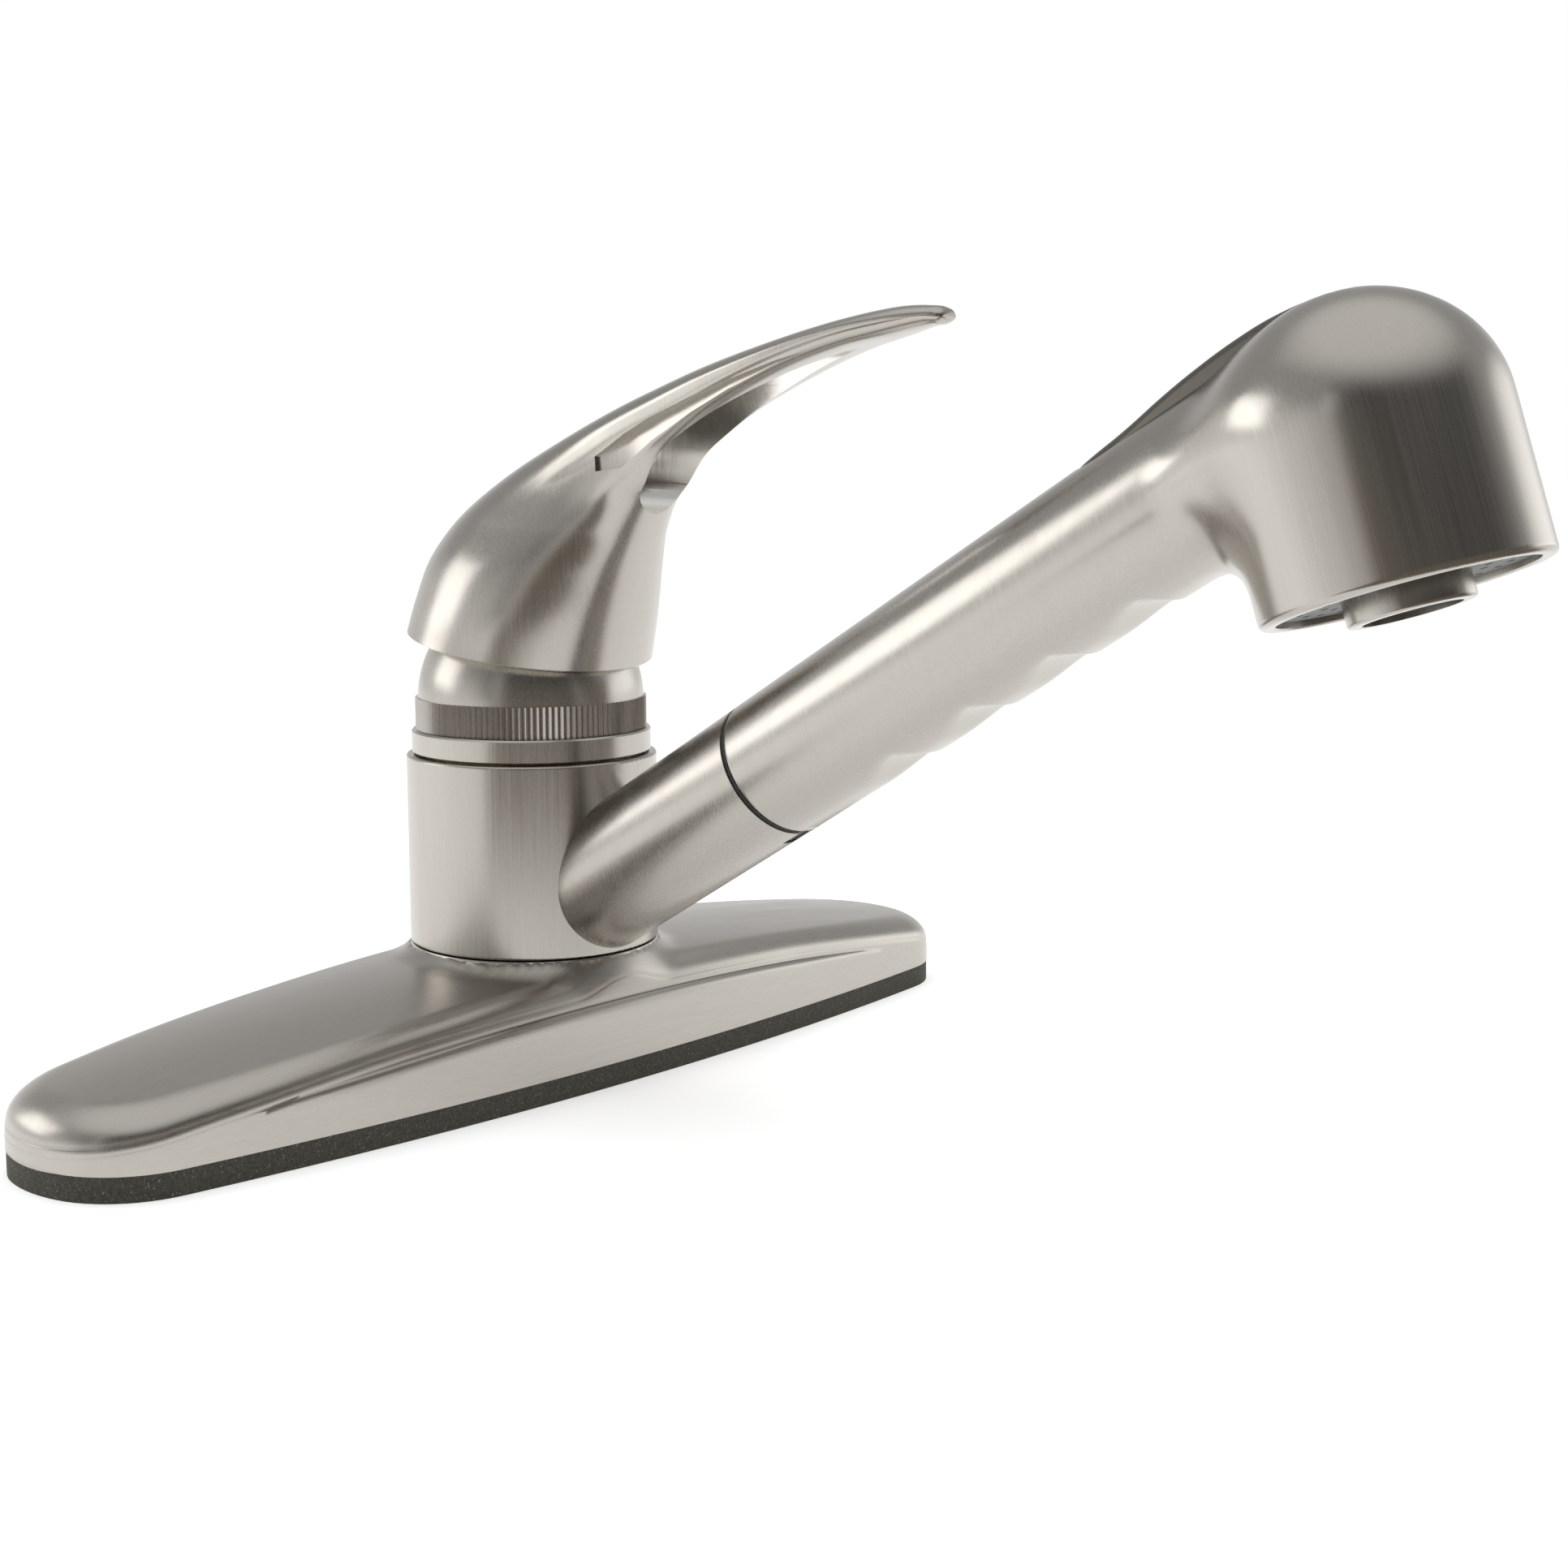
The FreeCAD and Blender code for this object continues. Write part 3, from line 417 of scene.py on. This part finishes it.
def spray_field(p):
    """Below zero inside the spray: the grip and the head run into each other."""
    along, up = arm_place(p)
    beyond = max(along - GRIP_END, 0.0)
    grip = sqrt(p.x**2 + up**2 + beyond**2) - GRIP_RADIUS
    rise, forward = head_place(p)
    around = sqrt(p.x**2 + forward**2)
    if rise < HEAD_WALL:
        head = around - HEAD_RADIUS
    else:
        dome = sqrt((around / HEAD_RADIUS) ** 2 + ((rise - HEAD_WALL) / HEAD_RISE) ** 2)
        head = (dome - 1) * HEAD_RISE
    blend = 13.0 - 8.5 * ease(up, 2.0, 13.0)
    grip = smooth_max(grip, -(up + GRIP_RADIUS - groove_depth(along)), 0.8)
    return smooth_min(grip, head, blend)


def reach(centre, direction):
    """Distance from the centre to the spray's surface."""
    low, high = 2.0, 46.0
    for _ in range(18):  # halvings, to under a micrometre
        middle = (low + high) / 2
        if spray_field(centre + direction * middle) < 0:
            low = middle
        else:
            high = middle
    return low


def spray_sections():
    """Centre and in-plane up direction of each section.

    They run along the grip, then fan about a point under the chin.
    """
    across_grip = Vector((0, sin(ARM_RISE), cos(ARM_RISE)))
    steps = 150
    for k in range(steps):
        place = SECTION_START + (CHIN_PLACE - SECTION_START) * k / steps
        yield arm_point(place, 0.0), across_grip
    chin = arm_point(CHIN_PLACE, -CHIN_RADIUS)
    fan = 84
    sweep = pi - HEAD_TILT - (pi / 2 - ARM_RISE)
    last = head_place(chin)[1]
    for k in range(fan + 1):
        share = k / fan
        angle = pi / 2 - ARM_RISE + sweep * share
        direction = Vector((0, cos(angle), sin(angle)))
        distance = CHIN_RADIUS + (-last - CHIN_RADIUS) * ease(share, 0.0, 1.0)
        yield chin + direction * distance, direction


def spray_shell():
    """Grip and head in one skin, hollow, with a room for the rocker."""
    count = 120
    outer, inner = [], []
    for centre, up in spray_sections():
        ring, lining = [], []
        for k in range(count):
            angle = 2 * pi * k / count
            direction = up * cos(angle) + X * sin(angle)
            distance = reach(centre, direction)
            ring.append(centre + direction * distance)
            lining.append(centre + direction * (distance - SHELL_WALL))
        outer.append(ring)
        inner.append(lining)
    chin_rise = head_place(outer[-1][0])[0]
    forward_dir = Vector((0, -cos(HEAD_TILT), sin(HEAD_TILT)))
    rim = [(HEAD_RADIUS, chin_rise - 0.3)] + HEAD_RIM
    foot = [disc(r, head_point(a, 0.0), forward_dir, X, count) for r, a in rim]
    up = Vector((0, sin(ARM_RISE), cos(ARM_RISE)))
    lip = [disc(r, arm_point(t, 0.0), up, X, count) for r, t in GRIP_LIP]
    rings = lip + outer + foot + inner[::-1]
    shell = make("spray_body", *loft(rings, wrap=True))
    cutter = make("rocker_room", *rocker_rings(ROCKER_GAP, ROCKER_ROOM_FLOOR, 30.0, False))
    combine(shell, cutter, "DIFFERENCE", "head", SHELL_SHARP)
    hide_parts("spray_shell")
    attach(shell, "spray")


# ---- rocker -----------------------------------------------------------------------------------------
ROCKER_START, ROCKER_END = 180.6, 243.6
ROCKER_HALF = 7.4
ROCKER_END_ROUND = 9.0
ROCKER_GAP = 0.38
# place along the arm and height over its axis
ROCKER_TOP = [
    (180.0, 14.6),
    (187.0, 15.15),
    (195.0, 15.7),
    (205.0, 16.8),
    (213.0, 17.35),
    (220.0, 17.5),
    (228.0, 17.1),
    (236.0, 15.6),
    (244.0, 12.6),
]


def rocker_half_width(along, grow):
    """Rounded at both ends."""
    start, end = ROCKER_START - grow, ROCKER_END + grow
    half = ROCKER_HALF + grow
    near = min(max((along - start) / ROCKER_END_ROUND, 0.0), 1.0)
    far = min(max((end - along) / ROCKER_END_ROUND, 0.0), 1.0)
    return half * sqrt(max(1 - (1 - near) ** 2, 0.0)) * sqrt(max(1 - (1 - far) ** 2, 0.0))


def rocker_top(along):
    heights = [(height,) for _, height in ROCKER_TOP]
    for i, ((start, _), (end, _)) in enumerate(zip(ROCKER_TOP, ROCKER_TOP[1:])):
        if along <= end or i == len(ROCKER_TOP) - 2:
            return curve_at(heights, i + (along - start) / (end - start))[0]


def rocker_rings(grow, floor, ceiling, crown):
    """Cross-sections along the arm: the rocker with its crowned top, or a prism for cutting."""
    rings = []
    steps = 56
    across = 22
    for i in range(steps + 1):
        share = 0.5 - 0.5 * cos(pi * i / steps)
        along = ROCKER_START - grow + (ROCKER_END - ROCKER_START + 2 * grow) * share
        half = max(rocker_half_width(along, grow), 0.05)
        ring = []
        for k in range(across + 1):
            x = half * cos(pi * k / across)
            if crown:
                top = rocker_top(along)
                fall = top - sqrt(max(top * top - x * x, 1.0))
                edge = 0.9 * (abs(x) / half) ** 10
                up = top - fall * 0.94 - edge
            else:
                up = ceiling
            ring.append(arm_point(along, up, x))
        ring.append(arm_point(along, floor, -half))
        ring.append(arm_point(along, floor, 0.0))
        ring.append(arm_point(along, floor, half))
        rings.append(ring)
    return loft(rings)


def rocker():
    # the rocker takes the matte nickel, whose dark base is painted shade
    piece = make("thumb_rocker", *rocker_rings(0.0, 10.6, 0.0, True), "matte", ROCKER_SHARP)
    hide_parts("rocker")
    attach(piece, "rocker")


# ---- lever handle -----------------------------------------------------------------------------------
# station: rear y, rear z, front y, front z, half width, crown share, lower exponent
LEVER = [
    (27.22, 100.25, -27.22, 91.15, 27.6, 0.50, 2.0),
    (25.3, 107.2, -30.6, 102.6, 26.0, 0.50, 2.0),
    (22.0, 115.6, -34.0, 113.0, 23.2, 0.48, 2.0),
    (14.6, 124.4, -37.6, 121.4, 18.6, 0.44, 2.1),
    (1.0, 133.2, -41.4, 127.6, 14.4, 0.38, 2.4),
    (-16.0, 141.3, -44.8, 131.6, 11.8, 0.36, 3.0),
    (-31.0, 147.2, -48.4, 137.2, 10.7, 0.36, 4.0),
    (-46.0, 152.3, -53.6, 141.4, 10.2, 0.38, 5.0),
    (-62.0, 157.0, -64.6, 147.6, 10.1, 0.40, 5.0),
    (-80.0, 161.3, -80.4, 154.1, 9.6, 0.42, 4.5),
    (-95.0, 164.4, -94.0, 158.2, 8.3, 0.44, 3.6),
    (-107.0, 166.1, -105.2, 160.4, 6.5, 0.48, 2.6),
    (-114.6, 166.0, -112.8, 162.0, 4.1, 0.50, 2.0),
    (-117.0, 165.4, -116.0, 162.4, 3.0, 0.50, 2.0),
]


# the groove on each flank: upper and lower edge (y, z), lever's half width there, depth
GROOVE_STATIONS = [
    ((-33.0, 137.4), (-33.4, 134.6), 10.9, 0.35),
    ((-41.0, 141.9), (-39.8, 135.4), 10.6, 1.9),
    ((-48.0, 145.2), (-48.0, 141.0), 10.35, 1.8),
    ((-59.0, 149.2), (-59.0, 146.6), 10.2, 1.5),
    ((-69.0, 152.6), (-69.0, 151.0), 10.0, 1.1),
    ((-82.0, 156.4), (-82.0, 155.6), 9.6, 0.8),
    ((-96.0, 159.6), (-96.0, 159.2), 8.3, 0.4),
    ((-110.0, 161.9), (-110.0, 161.7), 6.0, 0.0),
]

SLOT_FRONT_Y, SLOT_BACK_Y = -125.0, -16.0
SLOT_FOOT_Z, SLOT_FOOT_RADIUS = 124.5, 6.6
SLOT_RISE = 2.0
# half width, and height over the middle of the foot's arc
SLOT_SIDES = [
    (SLOT_FOOT_RADIUS, 0.0),
    (7.1, 3.6),
    (7.3, 7.5),
    (6.9, 12.0),
    (5.4, 18.5),
    (3.9, 22.8),
    (2.2, 26.0),
    (0.6, 28.2),
]
LOOP_HALF_WIDTH, LOOP_LOW_Z = 7.8, 120.0
FLANK_SINK = 0.55
TIP_DROP = Vector((0, -0.55, -0.1))
TIP_END_DROP = Vector((0, -0.85, -0.15))

CAP_CLEARANCE_RADIUS, CAP_CENTRE_Z = 26.6, 83.4


def lever_ring(row, place, shrink=0.0):
    """Section of the lever: a rounded crown over a squarer belly, with slightly sunk flanks."""
    rear_y, rear_z, front_y, front_z, half, crown, exponent = row
    depth = sqrt((front_y - rear_y) ** 2 + (front_z - rear_z) ** 2)
    down = Vector((0, front_y - rear_y, front_z - rear_z)) / depth
    centre = Vector((0, rear_y, rear_z)) + down * (crown * depth)
    half -= shrink
    inset = FLANK_SINK * ease(place, 3.2, 6.0) * (1 - ease(place, 10.6, 12.2))
    count = 120
    ring = []
    for k in range(count):
        angle = 2 * pi * k / count
        angle += 0.35 * sin(2 * angle)
        c, s = cos(angle), sin(angle)
        side = 1 if s >= 0 else -1
        if c > 0:
            x, drop = half * abs(s), -(crown * depth - shrink) * c
        else:
            x = half * abs(s) ** (2 / exponent) - inset * ease(-c, 0.03, 0.16)
            drop = ((1 - crown) * depth - shrink) * abs(c) ** (2 / exponent)
        ring.append(centre + down * drop + X * (x * side))
    return ring


def side_groove(side):
    """Wedge that leaves the tapering groove on a flank of the lever."""
    rings = []
    for (uy, uz), (ly, lz), half, cut in GROOVE_STATIONS:
        inside = half - 0.5 - cut
        corners = (
            (inside, uy, uz),
            (inside + 5, uy, uz + 0.6),
            (inside + 5, ly, lz - 0.6),
            (inside + 0.35 * cut, ly, lz),
        )
        rings.append([Vector((side * x, y, z)) for x, y, z in corners])
    return make("groove", *loft(rings))


def lever_slot():
    """Teardrop prism run back through the lever: a round foot, then two sides that meet at a point."""
    centre = SLOT_FOOT_Z + SLOT_FOOT_RADIUS
    sides = [(half, centre + height) for half, height in SLOT_SIDES]
    outline = []
    for k in range(33):
        angle = pi + pi * k / 32
        outline.append((SLOT_FOOT_RADIUS * cos(angle), centre + SLOT_FOOT_RADIUS * sin(angle)))
    smooth = [curve_at(sides, (len(sides) - 1) * k / 40) for k in range(1, 41)]
    outline += smooth
    outline += [(-x, z) for x, z in smooth[::-1]]
    ends = ((SLOT_FRONT_Y, -SLOT_RISE), (SLOT_BACK_Y, SLOT_RISE))
    rings = [[Vector((x, y, z + lift)) for x, z in outline] for y, lift in ends]
    return make("slot", *loft(rings))


def ball(radius, centre, rows=48, count=96):
    rings = []
    for i in range(1, rows):
        angle = pi * i / rows
        rings.append(disc(radius * sin(angle), centre - Z * (radius * cos(angle)), X, Y, count))
    return make("ball", *loft(rings))


def paint_loop_highlight(piece):
    """The wall inside the loop gets a much lighter, slightly smoother brushed nickel: a painted
    highlight for the bright reflection there.
    """
    piece.data.materials.append(looks["bright"])
    for face in piece.data.polygons:
        middle, normal = face.center * 1000, face.normal
        inward = middle.x * normal.x < 0 and abs(middle.x) < LOOP_HALF_WIDTH
        if inward and abs(normal.y) < 0.1 and middle.z > LOOP_LOW_Z:
            face.material_index = 1


def lever():
    """Handle with its loop, a hollow over the dome cap and a groove on each flank."""
    steps = 170
    rings = [lever_ring(LEVER[0], 0.0, 0.45)]
    for i in range(steps + 1):
        place = (len(LEVER) - 1) * i / steps
        row = curve_at(LEVER, place)
        if i == 0:
            row = curve_at(LEVER, 0.03)
        rings.append(lever_ring(row, place))
    last = len(LEVER) - 1
    tip = curve_at(LEVER, last)
    rings.append([p + TIP_DROP for p in lever_ring(tip, last, 0.45)])
    rings.append([p + TIP_END_DROP for p in lever_ring(tip, last, 0.95)])
    piece = make("lever_handle", *loft(rings))
    combine(piece, lever_slot(), "DIFFERENCE", "lever", LEVER_SHARP)
    cap = ball(CAP_CLEARANCE_RADIUS, Vector((0, 0, CAP_CENTRE_Z)))
    combine(piece, cap, "DIFFERENCE", "lever", LEVER_SHARP)
    combine(piece, side_groove(1), "DIFFERENCE", "lever", LEVER_SHARP)
    combine(piece, side_groove(-1), "DIFFERENCE", "lever", LEVER_SHARP)
    paint_loop_highlight(piece)
    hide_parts("handle")
    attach(piece, "lever")


# ---- deck plate -------------------------------------------------------------------------------------
PLATE_HALF_LENGTH, PLATE_HALF_DEPTH = 130.0, 31.7
PLATE_SIDE_RADIUS, PLATE_END_RADIUS, PLATE_CORNER_RADIUS = 796.0, 33.7, 21.0
PLATE_FOOT_Z = 5.2
PLATE_WALL = 3.4
PLATE_CROWN, PLATE_RIDGE_FALL, PLATE_END_FALL, PLATE_SIDE_FALL = 27.6, 0.030, 0.00045, 2.5
LEDGE_TOP, LEDGE_FALL, LEDGE_WIDTH = 19.0, 6.5, 1.4
PLATE_SPINE_HALF = 96.0
BOSS_TOP_Z, BOSS_FOOT_RADIUS, BOSS_RUN = 28.3, 33.5, 5.3
# radius and height, from the bore's foot round the boss
BOSS_PROFILE = [
    (22.0, 20.0),
    (28.0, 20.0),
    (28.18, 20.2),
    (28.18, 28.15),
    (28.0, 28.5),
    (27.6, 28.6),
    (22.0, 28.6),
]
BORE_RADIUS = 24.9


def plate_outline():
    """Points and outward normals round the plate: gentle sides, corner arcs, round ends."""
    side_r, end_r, corner_r = PLATE_SIDE_RADIUS, PLATE_END_RADIUS, PLATE_CORNER_RADIUS
    side_y, end_x = PLATE_HALF_DEPTH - side_r, PLATE_HALF_LENGTH - end_r
    span = sqrt(end_x**2 + side_y**2)
    along = ((side_r - corner_r) ** 2 - (end_r - corner_r) ** 2 + span**2) / (2 * span)
    off = sqrt((side_r - corner_r) ** 2 - along**2)
    ux, uy = end_x / span, -side_y / span
    corner = Vector((along * ux + off * uy, side_y + along * uy - off * ux))
    side, end = Vector((0, side_y)), Vector((end_x, 0))
    from_side, to_end = (corner - side).normalized(), (corner - end).normalized()
    a_side = atan2(from_side.y, from_side.x)
    a_end = atan2(to_end.y, to_end.x)
    quarter = []
    for k in range(110):
        quarter.append((side, side_r, pi / 2 + (a_side - pi / 2) * k / 110))
    for k in range(16):
        quarter.append((corner, corner_r, a_side + (a_end - a_side) * k / 16))
    for k in range(10):
        quarter.append((end, end_r, a_end * (1 - k / 9)))
    dots = []
    for centre, radius, angle in quarter:
        normal = Vector((cos(angle), sin(angle)))
        dots.append((centre + normal * radius, normal))

    def flip(pair, sx, sy):
        return tuple(Vector((v.x * sx, v.y * sy)) for v in pair)

    full = list(dots)
    full += [flip(d, 1, -1) for d in dots[-2::-1]]
    full += [flip(d, -1, -1) for d in dots[1:]]
    full += [flip(d, -1, 1) for d in dots[-2:0:-1]]
    return full


def plate_height(x, y):
    """Crown of the plate: it falls towards the ends and, less, towards the sides."""
    ridge = PLATE_RIDGE_FALL * sqrt(x * x + 36)
    ends = PLATE_END_FALL * x * x
    sides = PLATE_SIDE_FALL * (y / PLATE_HALF_DEPTH) ** 2
    return PLATE_CROWN - ridge - ends - sides


def boss_lift(p, ledge):
    """Concave run of the plate's top into the round boss."""
    r = sqrt(p.x**2 + p.y**2)
    if p.z < ledge + 0.8 or r > BOSS_FOOT_RADIUS:
        return 0.0
    near = min((BOSS_FOOT_RADIUS - r) / BOSS_RUN, 1.0)
    return max(BOSS_TOP_Z - p.z, 0.0) * near**2.4


def spine_point(x):
    """Nearest point of the plate's middle line, which stops short of the round ends."""
    return max(min(x, PLATE_SPINE_HALF), -PLATE_SPINE_HALF)


def plate_column(dot, normal):
    """From the rim's foot up the wall, over the edge and in to the plate's middle line."""
    x = dot.x
    ledge = LEDGE_TOP - LEDGE_FALL * (x / 100) ** 2
    step = LEDGE_WIDTH * (1 - ease(abs(x), 55.0, 101.0))
    radius = 5.4 + 2.6 * ease(abs(x), 60.0, 125.0)
    column = []

    def put(inset, z, lift=True):
        q = dot - normal * inset
        p = Vector((q.x, q.y, z))
        if lift:
            p.z += boss_lift(p, ledge)
        column.append(p)

    def top(inset):
        q = dot - normal * inset
        return plate_height(q.x, q.y)

    # foot and wall, then the ledge's rounded lip
    edge = top(step + radius) - radius
    put(0.0, PLATE_FOOT_Z, False)
    put(0.0, 5.35, False)
    put(0.02, ledge - 3.0, False)
    put(0.05 + 0.02 * step, ledge - 1.3, False)
    put(0.08 + 0.14 * step, ledge - 0.7 * min(step + 0.3, 1), False)
    put(0.1 + 0.38 * step, ledge - 0.22, False)
    put(0.1 + 0.72 * step, ledge - 0.03, False)
    put(0.12 + step, ledge + 0.10, False)
    put(0.14 + 1.04 * step, ledge + 0.55, False)
    # short upright wall over the ledge, then the rounded edge of the top
    start = ledge + 1.4
    for k in range(3):
        put(0.16 + 1.06 * step + 0.05 * k, start + (max(edge, start + 0.3) - start) * k / 3)
    for k in range(13):
        angle = pi / 2 * k / 12
        inset = 0.3 + 1.06 * step + radius * (1 - cos(angle))
        base = max(edge, start + 0.3)
        put(inset, base + (top(inset) - base) * sin(angle))
    # the crowned top, in to the middle line
    inner = 0.3 + 1.06 * step + radius
    for d in (inner + 1.2, inner + 2.6, inner + 4.4, inner + 6.4, inner + 8.6):
        put(d, top(d))
    foot = column[-1].copy()
    target = Vector((spine_point(foot.x), 0.0))
    for share in (0.25, 0.5, 0.75, 1.0):
        q = Vector((foot.x, foot.y)).lerp(target, share)
        p = Vector((q.x, q.y, plate_height(q.x, q.y)))
        p.z += boss_lift(p, ledge)
        column.append(p)
    return column


def plate():
    """Hollow plate with the round boss and the bore for the valve body."""
    outline = plate_outline()
    columns = [plate_column(dot, normal) for dot, normal in outline]
    lining = []
    for dot, normal in outline:
        # hollow side, from the foot up to the underside of the crown
        rows = []
        for inset, low in ((2.8, PLATE_FOOT_Z), (2.85, 9.0), (4.5, 11.5)):
            q = dot - normal * inset
            rows.append(Vector((q.x, q.y, low)))
        for inset in (7.0, 10.0, 14.0):
            q = dot - normal * inset
            under = plate_height(q.x, q.y) - PLATE_WALL
            rows.append(Vector((q.x, q.y, min(under, 11.5 + (inset - 4.5) * 2.2))))
        target = Vector((spine_point(rows[-1].x), 0.0))
        rows.append(Vector((target.x, 0.0, plate_height(target.x, 0.0) - PLATE_WALL)))
        lining.append(rows)
    rings = [list(ring) for ring in zip(*columns)][::-1] + [list(ring) for ring in zip(*lining)]
    piece = make("plate_body", *loft(rings, closed_ends=False))
    around_boss = [disc(r, Z * z, X, Y, 144) for r, z in BOSS_PROFILE]
    boss = make("boss", *loft(around_boss, wrap=True))
    combine(piece, boss, "UNION", "plate", SHELL_SHARP)
    bore = [disc(BORE_RADIUS, Z * z, X, Y, 144) for z in (0.0, 40.0)]
    combine(piece, make("hole", *loft(bore)), "DIFFERENCE", "plate", SHELL_SHARP)
    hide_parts("deck_plate")
    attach(piece, "base")


spray_shell()
rocker()
lever()
plate()


# ---- floor, light, camera --------------------------------------------------------------------------
def flat_mesh(name, corners, faces):
    mesh = bpy.data.meshes.new(name)
    mesh.from_pydata(corners, [], faces)
    obj = bpy.data.objects.new(name, mesh)
    bpy.context.scene.collection.objects.link(obj)
    return obj


def floor():
    half = 8.0
    corners = [(-half, -half, 0), (half, -half, 0), (half, half, 0), (-half, half, 0)]
    obj = flat_mesh("floor", corners, [(0, 1, 2, 3)])
    m = Nodes("floor_white")
    m.set(Roughness=0.9, Emission_Strength=0.48)
    m.shader.inputs["Base Color"].default_value = (0.86, 0.86, 0.86, 1.0)
    m.shader.inputs["Emission Color"].default_value = (1.0, 1.0, 1.0, 1.0)
    obj.data.materials.append(m.material)


def softbox(name, bearing, rise, distance, size, glow, mirrored=True):
    """A soft light at a bearing from +X and a rise over the deck, in degrees."""
    turn, lift = radians(bearing), radians(rise)
    out = Vector((cos(turn) * cos(lift), sin(turn) * cos(lift), sin(lift)))
    data = bpy.data.lights.new(name, "AREA")
    data.shape = "RECTANGLE"
    data.size, data.size_y = size
    data.energy = glow * pi * size[0] * size[1]
    lamp = bpy.data.objects.new(name, data)
    lamp.location = LIGHT_AIM + out * distance
    lamp.rotation_euler = (-out).to_track_quat("-Z", "Y").to_euler()
    lamp.visible_glossy = mirrored
    bpy.context.scene.collection.objects.link(lamp)


def dark_flag():
    """Dark card on the user's side of the bench, seen only in reflections, as studios use on metal."""
    start, end, steps = 186.0, 312.0, 24
    corners, faces = [], []
    for k in range(steps + 1):
        a = radians(start + (end - start) * k / steps)
        for radius, height in ((0.30, 0.002), (1.3, 0.004), (1.3, 0.42)):
            corners.append((radius * cos(a), radius * sin(a), height))
    for k in range(steps):
        for j in range(2):
            faces.append((3 * k + j, 3 * k + 3 + j, 3 * k + 4 + j, 3 * k + 1 + j))
    obj = flat_mesh("dark_flag", corners, faces)
    m = Nodes("flag_dark")
    m.set(Roughness=0.9, Emission_Strength=0.17)
    m.shader.inputs["Base Color"].default_value = (0.0, 0.0, 0.0, 1.0)
    m.shader.inputs["Emission Color"].default_value = (1.0, 0.86, 0.70, 1.0)
    obj.data.materials.append(m.material)
    obj.visible_camera = False
    obj.visible_diffuse = False
    obj.visible_shadow = False


def studio():
    """Surround with soft bright and dark directions, white to the camera, and three soft lights."""
    world = bpy.data.worlds.new("studio")
    bpy.context.scene.world = world
    world.use_nodes = True
    tree = world.node_tree
    links = tree.links
    background = tree.nodes["Background"]
    coordinates = tree.nodes.new("ShaderNodeTexCoord")

    def lobe(direction, start, end, low, high):
        dot = tree.nodes.new("ShaderNodeVectorMath")
        dot.operation = "DOT_PRODUCT"
        dot.inputs[1].default_value = direction
        links.new(coordinates.outputs["Generated"], dot.inputs[0])
        spread = tree.nodes.new("ShaderNodeMapRange")
        spread.interpolation_type = "SMOOTHSTEP"
        for key, number in (("From Min", start), ("From Max", end), ("To Min", low), ("To Max", high)):
            spread.inputs[key].default_value = number
        links.new(dot.outputs["Value"], spread.inputs["Value"])
        return spread.outputs["Result"]

    def join(operation, first, second):
        node = tree.nodes.new("ShaderNodeMath")
        node.operation = operation
        links.new(first, node.inputs[0])
        links.new(second, node.inputs[1])
        return node.outputs[0]

    towards_user, to_the_right, overhead = (-0.469, -0.883, 0.0), (0.927, -0.375, 0.0), (0.0, 0.0, 1.0)
    walls = lobe(towards_user, 0.15, 0.70, 0.85, 0.15)
    fading = lobe(overhead, 0.10, 0.42, 1.0, 0.50)
    ceiling = lobe(overhead, 0.42, 0.92, 0.0, 0.9)
    right = lobe(to_the_right, 0.88, 0.975, 0.0, 0.9)
    light = join("ADD", join("MAXIMUM", join("MULTIPLY", walls, fading), ceiling), right)
    rays = tree.nodes.new("ShaderNodeLightPath")
    seen = tree.nodes.new("ShaderNodeMix")
    seen.data_type = "FLOAT"
    links.new(rays.outputs["Is Camera Ray"], seen.inputs[0])
    links.new(light, seen.inputs[2])
    seen.inputs[3].default_value = 1.0
    links.new(seen.outputs[0], background.inputs["Color"])
    softbox("left_light", 124.0, 16.0, 0.95, (0.48, 0.36), 1.9)
    softbox("front_light", 188.0, 12.0, 0.9, (0.16, 0.60), 0.4)
    softbox("top_light", 60.0, 74.0, 1.3, (1.1, 1.1), 1.4, mirrored=False)


def camera():
    data = bpy.data.cameras.new("camera")
    data.sensor_width = 36.0
    data.lens = CAMERA_LENS
    data.clip_start = 0.01
    data.clip_end = 50.0
    obj = bpy.data.objects.new("camera", data)
    obj.location = CAMERA_PLACE
    obj.rotation_euler = (CAMERA_AIM - CAMERA_PLACE).to_track_quat("-Z", "Y").to_euler()
    bpy.context.scene.collection.objects.link(obj)
    bpy.context.scene.camera = obj


floor()
dark_flag()
studio()
camera()
bpy.context.scene.view_settings.view_transform = "Standard"
